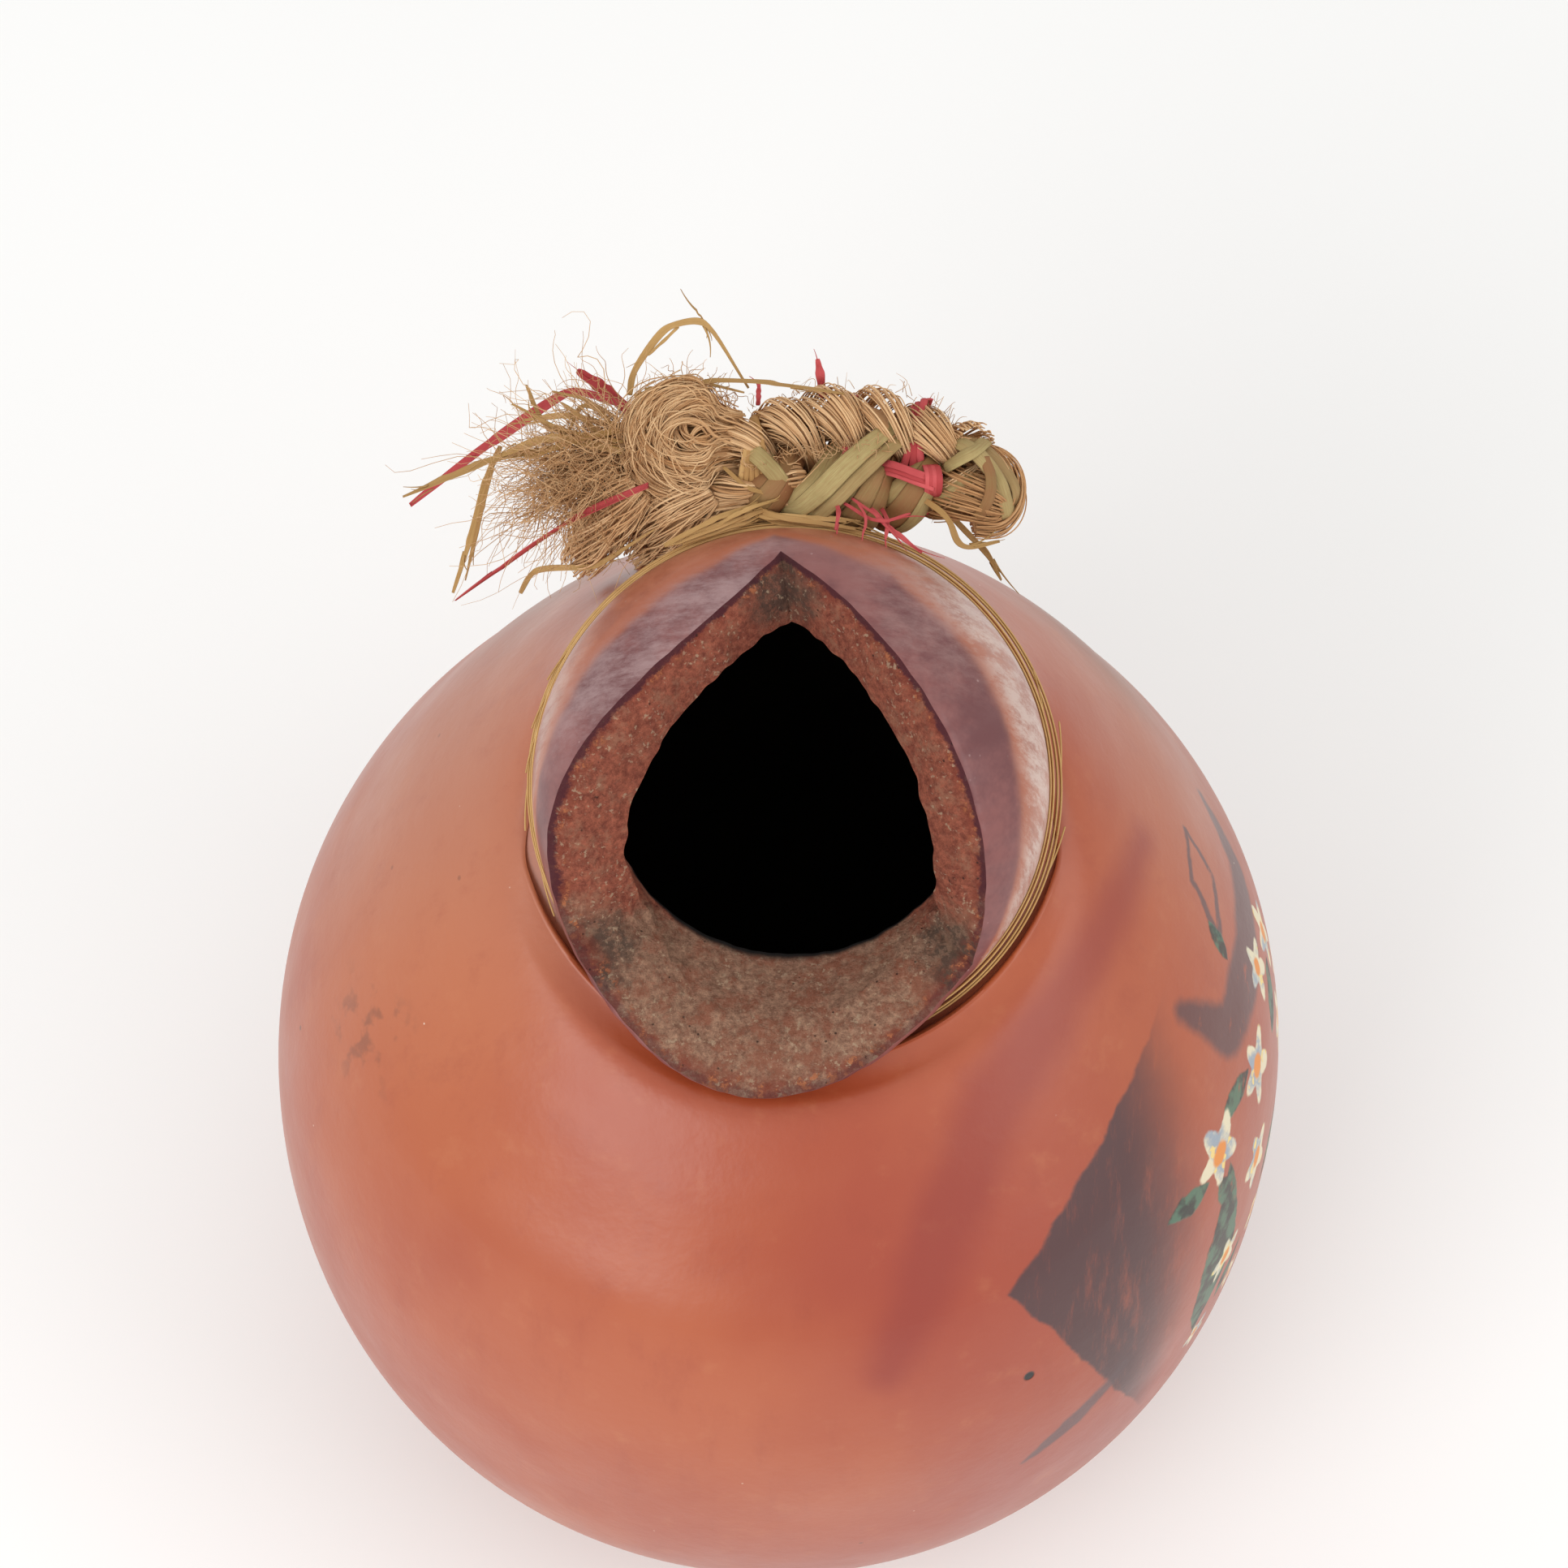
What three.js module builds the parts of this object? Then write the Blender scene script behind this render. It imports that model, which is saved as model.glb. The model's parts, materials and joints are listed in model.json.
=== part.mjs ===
// A painted bottle gourd with a scalloped mouth, and a plaited fibre cord tied round its waist.
// Units are millimetres and +Z is up. The gourd stands on a small flat at the origin.
// The neck leans forward, towards -Y, and the cord is tied behind it, at +Y.

import * as THREE from "three";
import { ParametricGeometry } from "three/addons/geometries/ParametricGeometry.js";

// Driving dimensions of the gourd
const BODY_RADIUS = 105;
const FULLNESS = 2.3; // 2 would be a ball; a larger number is fuller above and below its widest ring
const BASE_FLAT_DEPTH = 2.5; // how much of the round bottom is flattened away
const WALL = 9;
const WAIST_RISE = 116; // from the body's centre to the waist's centre
const WAIST_SHIFT = 3; // the neck stands a little to the right of the body
const WAIST_RADIUS = 48.5;
const WAIST_TILT = 30; // degrees that the waist's plane leans forward
const GROOVE_HALF = 3.6; // half the height of the groove that holds the band
const NECK_WALL = 12.5;
const ROUND_STEPS = 60; // points round the gourd, 6 degrees apart

// Driving dimensions of the cord
const PLAIT_START = -9;
const PLAIT_END = 33;
const PLAIT_DEPTH = -7; // behind the waist's plane
const PLAIT_PITCH = 27;
const PLAIT_SWAY = 8.5; // half the distance a strand swings across the plait
const PLAIT_LIFT = 5; // half the distance a strand moves through the plait
const STRAND_RADIUS = 1.85;
const PALM_WIDTH = 5;
const STRAW_WIDTH = 3;
const STRIP_THICKNESS = 0.8;

const BODY_CENTRE_Z = BODY_RADIUS - BASE_FLAT_DEPTH;
const radians = THREE.MathUtils.degToRad;
const v3 = (x, y, z) => new THREE.Vector3(x, y, z);

// Colours
const GOURD_RED = 0xb4593a;
const SISAL = 0xc69358;
const PALM_GREEN = 0xb3a468;
const RAFFIA = 0xcda14e;
const STRAW = 0xbd9a52;
const DYED_RED = 0xc8433f;

// The waist frame: X to the right, Y towards the back of the neck, Z out of the mouth.
// The mouth, the band and the cord are all drawn in it.
const waist = new THREE.Group();
waist.position.set(WAIST_SHIFT, 0, BODY_CENTRE_Z + WAIST_RISE);
waist.rotation.x = radians(WAIST_TILT);
waist.updateMatrix();
const fromWaist = (point) => point.applyMatrix4(waist.matrix);

// ---- Gourd shell -------------------------------------------------------------------------

// A level or tilted ring: its radius, its centre's height above the body's centre and its tilt in degrees.
const section = (radius, rise, tilt) => v3(radius, rise, tilt);

// A point of a section at an angle round the gourd, in the part's frame.
function onSection(s, angle) {
  const across = s.x * Math.cos(angle) + WAIST_SHIFT * THREE.MathUtils.clamp(s.y / WAIST_RISE, 0, 1);
  const along = s.x * Math.sin(angle);
  const tilt = radians(s.z);
  return v3(across, along * Math.cos(tilt), BODY_CENTRE_Z + s.y + along * Math.sin(tilt));
}

// The sections of a globe of one radius, between two latitudes in degrees.
function globeSections(radius, from, to, steps) {
  return Array.from({ length: steps + 1 }, (_, i) => {
    const latitude = radians(THREE.MathUtils.lerp(from, to, i / steps));
    const across = Math.abs(Math.cos(latitude));
    const up = Math.sin(latitude);
    const stretch = (across ** FULLNESS + Math.abs(up) ** FULLNESS) ** (-1 / FULLNESS);
    return section(radius * across * stretch, radius * up * stretch, 0);
  });
}

// The shoulder narrows from the globe to the waist while its sections lean forward.
const SHOULDER_LATITUDE = 34;
const SHOULDER = [section(80.5, 77.5, 4), section(67.5, 94.5, 8.5), section(56.5, 107, 15.5)];
const NECK_FOOT = section(WAIST_RADIUS + 1.2, WAIST_RISE - 4.6, WAIST_TILT);

function shoulderSections(globe, last, knots, steps) {
  const spline = new THREE.CatmullRomCurve3([...globe.slice(-2), ...knots, last], false, "centripetal");
  return Array.from({ length: steps }, (_, i) => spline.getPoint(0.2 + (0.8 * (i + 1)) / steps));
}

const flatRadius = BODY_RADIUS * (1 - (BODY_CENTRE_Z / BODY_RADIUS) ** FULLNESS) ** (1 / FULLNESS);
const flatLatitude = -THREE.MathUtils.radToDeg(Math.atan2(BODY_CENTRE_Z, flatRadius));
const outerGlobe = globeSections(BODY_RADIUS, flatLatitude, SHOULDER_LATITUDE, 12);
const outerBody = [...outerGlobe, ...shoulderSections(outerGlobe, NECK_FOOT, SHOULDER, 9).slice(0, -2)];

// The inside follows the outside, one wall further in and lower.
const innerGlobe = globeSections(BODY_RADIUS - WALL, -90, SHOULDER_LATITUDE, 8);
const sunk = (s) => section(s.x - WALL - 1, s.y - WALL, s.z);
const INNER_WAIST = section(WAIST_RADIUS - NECK_WALL, WAIST_RISE - WALL, WAIST_TILT);
const innerBody = [...innerGlobe, ...shoulderSections(innerGlobe, INNER_WAIST, SHOULDER.map(sunk), 5)];

// In front the shoulder rises to a crest that stands outside the band, just under the lip.
const CREST_OUT = 3.7;
const CREST_RISE = 9;
function crestRow(inset, drop) {
  return (angle) => {
    const front = Math.max(0, -Math.sin(angle));
    const out = THREE.MathUtils.smoothstep(front, 0, 0.3) * CREST_OUT;
    const radius = WAIST_RADIUS + 1.3 + out - inset;
    const height = -4.4 + (CREST_RISE - drop) * Math.max(0, (front - 0.1) / 0.9) ** 1.2;
    return fromWaist(v3(Math.cos(angle) * radius, Math.sin(angle) * radius, height));
  };
}

// A row of the groove, round the waist at one height.
const grooveRow = (height) => (angle) =>
  fromWaist(v3(Math.cos(angle) * WAIST_RADIUS, Math.sin(angle) * WAIST_RADIUS, height));

// The mouth is three lobes that meet at three corners, given by their angles round the waist.
const CORNER_ANGLES = [95, 215, 315, 455];
const bezier = (...points) => new THREE.CubicBezierCurve3(...points.map((p) => v3(...p)));
const OUTER_EDGE = [
  bezier([-2, 43.5, 19], [-27, 18, 33], [-57, 4, 32], [-40.5, -31, 9]),
  bezier([-40.5, -31, 9], [-18, -70, 13], [9, -64, 13], [34, -33.5, 9]),
  bezier([34, -33.5, 9], [42.5, -4, 37], [22, 28, 37], [-2, 43.5, 19]),
];
const INNER_EDGE = [
  bezier([0, 30.5, 12], [-21, 20, 24], [-39, -9, 24], [-27, -24, 3]),
  bezier([-27, -24, 3], [-18, -52, 12], [12, -50, 12], [24, -24.5, 3]),
  bezier([24, -24.5, 3], [32, -16, 26], [20, 20, 28], [0, 30.5, 12]),
];

// A point of a three-lobed edge at an angle, in degrees, round the waist.
function onEdge(edge, degrees) {
  const turn = degrees < CORNER_ANGLES[0] ? degrees + 360 : degrees;
  const lobe = CORNER_ANGLES.findLastIndex((corner, i) => i < 3 && turn >= corner);
  const share = (turn - CORNER_ANGLES[lobe]) / (CORNER_ANGLES[lobe + 1] - CORNER_ANGLES[lobe]);
  return edge[lobe].getPoint(share);
}

// The collar swells a little above the waist before it closes in to the mouth.
const COLLAR_SWELL = 1.2;
function onCollar(share, degrees) {
  const angle = radians(degrees);
  const foot = v3(Math.cos(angle) * WAIST_RADIUS, Math.sin(angle) * WAIST_RADIUS, GROOVE_HALF);
  const edge = onEdge(OUTER_EDGE, degrees);
  const reach = Math.max(WAIST_RADIUS, Math.hypot(edge.x, edge.y)) + COLLAR_SWELL;
  const swell = v3(Math.cos(angle) * reach, Math.sin(angle) * reach, edge.z * 0.62);
  return fromWaist(new THREE.QuadraticBezierCurve3(foot, swell, edge).getPoint(share));
}

// The sawn face between the two edges is slightly domed.
const FACE_CROWN = 1.6;
function onFace(share, degrees) {
  const point = onEdge(OUTER_EDGE, degrees).lerp(onEdge(INNER_EDGE, degrees), share);
  point.z += FACE_CROWN * Math.sin(Math.PI * share);
  return fromWaist(point);
}

// Below the inner edge the wall of the mouth runs down to the throat, which is the inside of the waist.
// In front the throat stands a little further in.
const THROAT_LIP = 4;
function onThroat(share, degrees) {
  const angle = radians(degrees);
  const front = Math.max(0, -Math.sin(angle));
  const radius = WAIST_RADIUS - NECK_WALL - THROAT_LIP * front;
  const throat = v3(Math.cos(angle) * radius, Math.sin(angle) * radius, -1.5);
  return fromWaist(onEdge(INNER_EDGE, degrees).lerp(throat, share));
}

// The skin runs from the base's centre up the outside, over the mouth and down the inside.
const toDegrees = (angle) => THREE.MathUtils.radToDeg(angle);
const COLLAR_ROWS = 6;
const FACE_ROWS = 4;
const THROAT_ROWS = 3;
const rows = [
  () => v3(0, 0, 0),
  ...outerBody.map((s) => (angle) => onSection(s, angle)),
  crestRow(0, 0),
  crestRow(0.9, 1),
  crestRow(0.9, CREST_RISE),
  grooveRow(-GROOVE_HALF),
  grooveRow(GROOVE_HALF),
  ...Array.from({ length: COLLAR_ROWS }, (_, i) => (a) => onCollar((i + 1) / COLLAR_ROWS, toDegrees(a))),
  ...Array.from({ length: FACE_ROWS }, (_, i) => (a) => onFace((i + 1) / FACE_ROWS, toDegrees(a))),
  ...Array.from({ length: THROAT_ROWS }, (_, i) => (a) => onThroat((i + 1) / THROAT_ROWS, toDegrees(a))),
  ...innerBody.toReversed().map((s) => (angle) => onSection(s, angle)),
];

function gourdShell() {
  const last = rows.length - 1;
  const skin = (u, v, target) => {
    const step = Math.round(u * ROUND_STEPS) % ROUND_STEPS;
    target.copy(rows[Math.round(v * last)]((step / ROUND_STEPS) * 2 * Math.PI));
  };
  return new ParametricGeometry(skin, ROUND_STEPS, last);
}

const gourd = new THREE.Group();
function add(group, name, geometry, color, roughness = 0.8) {
  const material = new THREE.MeshStandardMaterial({ color, roughness, metalness: 0 });
  const mesh = new THREE.Mesh(geometry, material);
  mesh.name = name;
  group.add(mesh);
  return mesh;
}

add(gourd, "gourd_shell", gourdShell(), GOURD_RED, 0.45);
gourd.add(waist);

// ---- Sweeps for fibres and strips --------------------------------------------------------

const through = (...points) => new THREE.CatmullRomCurve3(points.map((p) => v3(...p)), false, "centripetal");
const CAP_ROWS = 2; // rows that close each end of a sweep

// A closed tube along a curve. Its section is an oval, width by depth, that may be fluted.
// The depth points along facing as nearly as it can.
function sweep(curve, { width, depth, steps, facing = v3(0, 0, 1), flutes = 0, around = 8, swell = () => 1 }) {
  const count = steps + 2 * CAP_ROWS;
  const skin = (u, v, target) => {
    const row = Math.round(v * count) - CAP_ROWS;
    const along = THREE.MathUtils.clamp(row / steps, 0, 1);
    const cap = row <= -CAP_ROWS || row >= steps + CAP_ROWS ? 0 : row < 0 || row > steps ? 0.75 : 1;
    const angle = ((Math.round(u * around) % around) / around) * 2 * Math.PI;
    const tangent = curve.getTangentAt(along);
    const deep = facing.clone().addScaledVector(tangent, -facing.dot(tangent)).normalize();
    const wide = new THREE.Vector3().crossVectors(deep, tangent);
    const size = cap * swell(along) * (flutes ? 1 + 0.16 * Math.cos(flutes * angle) : 1);
    const overrun = row < 0 ? row : Math.max(0, row - steps);
    target.copy(curve.getPointAt(along)).addScaledVector(tangent, overrun * Math.min(width, depth) * 0.2);
    target.addScaledVector(wide, Math.cos(angle) * size * width * 0.5);
    target.addScaledVector(deep, Math.sin(angle) * size * depth * 0.5);
  };
  return new ParametricGeometry(skin, around, count);
}

// A flat strip of straw, palm or dyed leaf, a little narrower at its ends.
function strip(width, points, facing, steps = 12) {
  const swell = (t) => 1 - 0.35 * Math.abs(2 * t - 1) ** 3;
  const thickness = STRIP_THICKNESS;
  return sweep(through(...points), { width, depth: thickness, steps, facing, around: 6, swell });
}

// A closed flat ring: a strip that runs all the way round.
function ring(radius, thickness, from, to, steps) {
  const middle = (from + to) / 2;
  const inner = radius;
  const outer = radius + thickness;
  const profile = [[inner, from], [outer - 0.3, from], [outer, middle], [outer - 0.3, to], [inner, to], [inner, from]];
  return new THREE.LatheGeometry(profile.map(([r, h]) => new THREE.Vector2(r, h)), steps);
}

// ---- Band round the waist ----------------------------------------------------------------

const BAND_CLEARANCE = 0.4;
const upperStrip = ring(WAIST_RADIUS + BAND_CLEARANCE, 1.4, 0.4, 3.3, 60).rotateX(Math.PI / 2);
const lowerStrip = ring(WAIST_RADIUS + BAND_CLEARANCE + 1.8, 1.3, -2, 1.6, 60).rotateX(Math.PI / 2);
add(waist, "band_strip_upper", upperStrip, RAFFIA);
add(waist, "band_strip_lower", lowerStrip, RAFFIA);

// ---- Plait -------------------------------------------------------------------------------

const plaitMiddle = (x) => 63.3 - 0.0042 * (x - 10) ** 2;

// One strand weaves across the plait and through it, twice as fast.
class Strand extends THREE.Curve {
  constructor(phase) {
    super();
    this.phase = phase;
  }
  getPoint(t) {
    const x = THREE.MathUtils.lerp(PLAIT_START, PLAIT_END, t);
    const turn = ((x - PLAIT_START) / PLAIT_PITCH) * 2 * Math.PI + this.phase;
    const gather = 0.55 + 0.45 * Math.sin(Math.PI * Math.min(1, t * 1.1));
    const y = plaitMiddle(x) + PLAIT_SWAY * gather * Math.sin(turn);
    return v3(x, y, PLAIT_DEPTH - PLAIT_LIFT * Math.sin(2 * turn));
  }
}

const STRAND_NAMES = ["plait_strand_a", "plait_strand_b", "plait_palm_strand"];
const STRAND_COLOURS = [SISAL, SISAL, PALM_GREEN];
STRAND_NAMES.forEach((name, i) => {
  const curve = new Strand((i / 3) * 2 * Math.PI);
  const size = { width: 2 * STRAND_RADIUS, depth: 2 * STRAND_RADIUS, steps: 44 };
  add(waist, name, sweep(curve, size), STRAND_COLOURS[i]);
});

// Two dyed wraps go right round the three strands.
function plaitWrap(name, x, lean) {
  const wrap = add(waist, name, ring(12.5, 0.9, -1.6, 1.6, 28).scale(1, 1, 0.78), DYED_RED);
  wrap.rotation.set(0, 0, Math.PI / 2 + lean);
  wrap.position.set(x, plaitMiddle(x), PLAIT_DEPTH);
}
plaitWrap("red_wrap_inner", 12, 0.12);
plaitWrap("red_wrap_outer", 23.5, -0.12);

// The end of the plait is folded back on itself and bound with palm leaf.
const foldedTip = through([36.6, 62.4, -7], [40.4, 60.8, -6.5], [42.4, 55, -6], [40.2, 49.6, -5.5], [35.5, 49.2, -5]);
const tipSwell = (t) => 0.7 + 0.3 * Math.sin(Math.PI * t);
add(waist, "plait_tip_fold", sweep(foldedTip, { width: 6.4, depth: 7, steps: 18, flutes: 4, swell: tipSwell }), SISAL);
const binding = add(waist, "tip_palm_binding", ring(4.6, 0.8, -1.8, 1.8, 20), PALM_GREEN);
binding.rotation.set(0, 0, 0.25);
binding.position.set(42, 56.8, -6.1);

// ---- Knot that ties the plait to the band ------------------------------------------------

// Raffia strips cross over the band's top and hold the plait's left end.
const OUTWARD = v3(-0.2, 0.5, 0.85);
add(waist, "knot_strip_left", strip(4, [[-23, 49.5, 2], [-16, 51.5, 3], [-9, 51.5, 1.5]], OUTWARD), RAFFIA);
add(waist, "knot_strip_right", strip(4, [[-4.4, 52.2, 1.5], [1, 52.2, 3], [5.6, 52, 2.2]], OUTWARD), RAFFIA);
const tie = add(waist, "knot_tie", ring(9.2, 1.1, -2.2, 2.2, 24), RAFFIA);
tie.rotation.set(0, 0, Math.PI / 2);
tie.position.set(-6.8, 61.8, PLAIT_DEPTH);

// ---- Sisal hank and frayed ends ----------------------------------------------------------

// The hank is sisal wound flat, like a small rope coil.
class Coil extends THREE.Curve {
  constructor(centre, inner, outer, turns) {
    super();
    Object.assign(this, { centre, inner, outer, turns });
  }
  getPoint(t) {
    const angle = t * this.turns * 2 * Math.PI + 0.6;
    const radius = THREE.MathUtils.lerp(this.inner, this.outer, t);
    const dome = 3.2 * (1 - t);
    return v3(Math.cos(angle) * radius, Math.sin(angle) * radius, dome).add(this.centre);
  }
}

const hankCurve = new Coil(v3(-20.5, 64, -6), 1.6, 9.2, 2.1);
add(waist, "sisal_hank", sweep(hankCurve, { width: 3.4, depth: 4.2, steps: 44, flutes: 0 }), SISAL);

// A bushy bundle of loose fibre that swells from its root and thins out at its tip.
function tuft(name, points, width, depth, facing) {
  const swell = (t) => 0.35 + 0.65 * Math.sin(Math.PI * Math.min(1, 0.18 + 0.86 * t)) ** 0.8;
  const size = { width, depth, facing, steps: 14, around: 14, flutes: 7, swell };
  add(waist, name, sweep(through(...points), size), SISAL);
}

tuft("frayed_tuft", [[-33, 63.5, -10], [-42, 62, -11], [-50, 56.5, -14], [-55.5, 47.5, -18]], 17, 8.5, v3(0.2, 0.1, 1));
tuft("shoulder_tuft_outer", [[-33, 57.4, -21], [-37, 52.6, -27], [-40, 48.2, -33], [-41.5, 44.7, -38]], 9, 6, v3(-0.5, 0.6, 0.6));
tuft("shoulder_tuft_inner", [[-21, 58.6, -21], [-24, 55.8, -27], [-27, 52.8, -33], [-29, 49.8, -37]], 9, 6, v3(-0.3, 0.8, 0.5));

// ---- Loose strip ends --------------------------------------------------------------------

const VIEWER = v3(0, 0, 1);
const UP_TILT = v3(0.3, 0.7, 0.7);
const redEnd = (name, width, points, facing) => add(waist, name, strip(width, points, facing), DYED_RED);
const strawEnd = (name, width, points, facing) => add(waist, name, strip(width, points, facing, 14), STRAW);

redEnd("red_end_long", 5, [[-33, 74.8, -15], [-44, 75.8, -17], [-58, 66.5, -19], [-74, 54.5, -21]], UP_TILT);
redEnd("red_end_stub", 7, [[-32.5, 74, -19], [-36.5, 77.2, -19], [-41.5, 80.5, -18]], VIEWER);
redEnd("red_end_low", 4.5, [[-40, 52.5, -20], [-50, 46, -26], [-58, 41, -30], [-66, 36.5, -32]], UP_TILT);
redEnd("red_spike", 2.6, [[6, 75.6, -10], [5.6, 78.6, -9], [5, 81.8, -8]], VIEWER);
redEnd("red_fray_left", 2.4, [[7.8, 54.4, -2], [9, 52, 5.2], [8.2, 48.2, 10]], VIEWER);
redEnd("red_fray_right", 2.4, [[16.5, 53.4, -2], [18.2, 50, 5], [17.6, 46.2, 9]], VIEWER);

const LOOP_POINTS = [[-30, 77, -10], [-27.5, 83, -9], [-22, 88.6, -8], [-16, 88.8, -8], [-12, 83, -9]];
strawEnd("straw_loop_tall", STRAW_WIDTH, [...LOOP_POINTS, [-8.5, 76.8, -10]], VIEWER);
strawEnd("straw_bridge", STRAW_WIDTH, [[-27, 75.8, -5], [-16, 77, -3], [-3, 76.4, -1], [10, 74.2, 0]], UP_TILT);
strawEnd("straw_tip_left", PALM_WIDTH, [[-57, 61.5, -8], [-65, 58.5, -9], [-75, 55, -10]], UP_TILT);
strawEnd("straw_fan_upper", STRAW_WIDTH, [[-35, 72.5, -8], [-43, 71, -7], [-51.5, 70, -8]], VIEWER);
strawEnd("straw_fan_lower", STRAW_WIDTH, [[-33, 68, -3], [-41, 66, -3], [-50, 62.5, -5]], VIEWER);
strawEnd("straw_drop", STRAW_WIDTH, [[-58, 60, -24], [-62.5, 53, -26], [-65, 45, -29], [-66.5, 38.5, -31]], VIEWER);
strawEnd("straw_shoulder", STRAW_WIDTH, [[-53.5, 38, -33], [-50, 42.5, -34], [-38, 42.5, -17], [-26, 48.8, -2]], VIEWER);
strawEnd("straw_end_inner", STRAW_WIDTH, [[25.5, 54, 0], [28, 48, 2], [31, 44.2, 3], [39, 48.5, -1]], VIEWER);
strawEnd("straw_end_outer", STRAW_WIDTH, [[30, 53, -17], [34, 47, -17], [40, 39.8, -16]], VIEWER);

export default gourd;
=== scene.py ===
# Looks for the painted gourd with its plaited fibre cord.
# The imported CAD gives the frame. Lengths in this script are millimetres until they reach a mesh.

import json
import math

import bpy
import numpy as np
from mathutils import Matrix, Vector, noise


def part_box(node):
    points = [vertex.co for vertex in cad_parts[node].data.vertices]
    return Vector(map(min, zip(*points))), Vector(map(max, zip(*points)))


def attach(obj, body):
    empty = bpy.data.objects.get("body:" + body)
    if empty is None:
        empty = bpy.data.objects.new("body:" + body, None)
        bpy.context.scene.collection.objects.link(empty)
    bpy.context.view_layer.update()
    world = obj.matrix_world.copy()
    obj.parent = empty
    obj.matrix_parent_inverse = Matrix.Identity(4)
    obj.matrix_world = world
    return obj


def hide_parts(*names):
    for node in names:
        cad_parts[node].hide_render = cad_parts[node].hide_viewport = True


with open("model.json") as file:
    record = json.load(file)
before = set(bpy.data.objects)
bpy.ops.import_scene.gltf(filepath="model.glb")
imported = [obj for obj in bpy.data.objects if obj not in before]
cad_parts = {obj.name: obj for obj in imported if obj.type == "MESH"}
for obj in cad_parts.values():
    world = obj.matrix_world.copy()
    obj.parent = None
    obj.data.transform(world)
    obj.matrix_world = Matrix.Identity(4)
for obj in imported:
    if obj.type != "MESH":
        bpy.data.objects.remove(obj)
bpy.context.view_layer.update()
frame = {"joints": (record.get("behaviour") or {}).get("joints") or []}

# ---- Places taken from the frame ---------------------------------------------------------

shell_low, shell_high = (np.array(corner) * 1000 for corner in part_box("gourd_shell"))
BODY_RADIUS = (shell_high[0] - shell_low[0]) / 2
BASE_FLAT_DEPTH = 2.5
BODY_CENTRE_Z = BODY_RADIUS - BASE_FLAT_DEPTH

turn_joint = next(j for j in frame["joints"] if j["name"] == "band_turn")
WAIST_CENTRE = np.array(turn_joint["pos_m"]) * 1000
WAIST_NORMAL = np.array(turn_joint["axis"]) / np.linalg.norm(turn_joint["axis"])
WAIST_TILT = math.degrees(math.asin(-WAIST_NORMAL[1]))
WAIST_RISE = WAIST_CENTRE[2] - BODY_CENTRE_Z
WAIST_SHIFT = WAIST_CENTRE[0]

# The waist frame: X to the right, Y towards the back of the neck, Z out of the mouth.
RIGHT = np.array([1.0, 0.0, 0.0])
BACK = np.cross(WAIST_NORMAL, RIGHT)
WAIST_AXES = np.stack([RIGHT, BACK, WAIST_NORMAL])


def from_waist(points):
    return np.asarray(points, float) @ WAIST_AXES + WAIST_CENTRE


# ---- Shape of the gourd ------------------------------------------------------------------

FULLNESS = 2.3
WALL = 9.0
NECK_WALL = 12.5
WAIST_RADIUS = 48.5
GROOVE_HALF = 3.6
SHOULDER_LATITUDE = 34.0
SHOULDER = [(80.5, 77.5, 4.0), (67.5, 94.5, 8.5), (56.5, 107.0, 15.5)]
CREST_OUT = 3.7
CREST_RISE = 9.0
ROUND_STEPS = 360
SHOULDER_ROWS = 34
SHOULDER_SHARE = 0.822  # share of the way from globe to waist that the outside's sections cover
COLLAR_ROWS = 28
FACE_ROWS = 26
THROAT_ROWS = 16

# The mouth's two edges, in the waist frame: each lobe is a Bezier curve between two corners.
CORNER_ANGLES = [95.0, 215.0, 315.0, 455.0]
OUTER_EDGE = [
    [(-2, 43.5, 19), (-27, 18, 33), (-57, 4, 32), (-40.5, -31, 9)],
    [(-40.5, -31, 9), (-18, -70, 13), (9, -64, 13), (34, -33.5, 9)],
    [(34, -33.5, 9), (42.5, -4, 37), (22, 28, 37), (-2, 43.5, 19)],
]
INNER_EDGE = [
    [(0, 30.5, 12), (-21, 20, 24), (-39, -9, 24), (-27, -24, 3)],
    [(-27, -24, 3), (-18, -52, 12), (12, -50, 12), (24, -24.5, 3)],
    [(24, -24.5, 3), (32, -16, 26), (20, 20, 28), (0, 30.5, 12)],
]


def spline(knots, count):
    """A centripetal Catmull-Rom curve through the knots, as count points."""
    knots = np.asarray(knots, float)
    first = 2 * knots[0] - knots[1]
    last = 2 * knots[-1] - knots[-2]
    p = np.vstack([first, knots, last])
    out = []
    for u in np.linspace(0, len(knots) - 1, count):
        i = min(int(u), len(knots) - 2)
        a, b, c, d = p[i : i + 4]
        t1 = max(np.linalg.norm(b - a) ** 0.5, 1e-6)
        t2 = t1 + max(np.linalg.norm(c - b) ** 0.5, 1e-6)
        t3 = t2 + max(np.linalg.norm(d - c) ** 0.5, 1e-6)
        t = t1 + (u - i) * (t2 - t1)
        ab = (t1 - t) / t1 * a + t / t1 * b
        bc = (t2 - t) / (t2 - t1) * b + (t - t1) / (t2 - t1) * c
        cd = (t3 - t) / (t3 - t2) * c + (t - t2) / (t3 - t2) * d
        abc = (t2 - t) / t2 * ab + t / t2 * bc
        bcd = (t3 - t) / (t3 - t1) * bc + (t - t1) / (t3 - t1) * cd
        out.append((t2 - t) / (t2 - t1) * abc + (t - t1) / (t2 - t1) * bcd)
    return np.array(out)


def section_ring(section, angles):
    """A ring of the body, from its radius, its rise above the body's centre and its tilt."""
    radius, rise, tilt = section
    lean = math.radians(tilt)
    shift = WAIST_SHIFT * min(max(rise / WAIST_RISE, 0), 1)
    along = radius * np.sin(angles)
    x = radius * np.cos(angles) + shift
    return np.stack([x, along * math.cos(lean), BODY_CENTRE_Z + rise + along * math.sin(lean)], 1)


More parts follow.
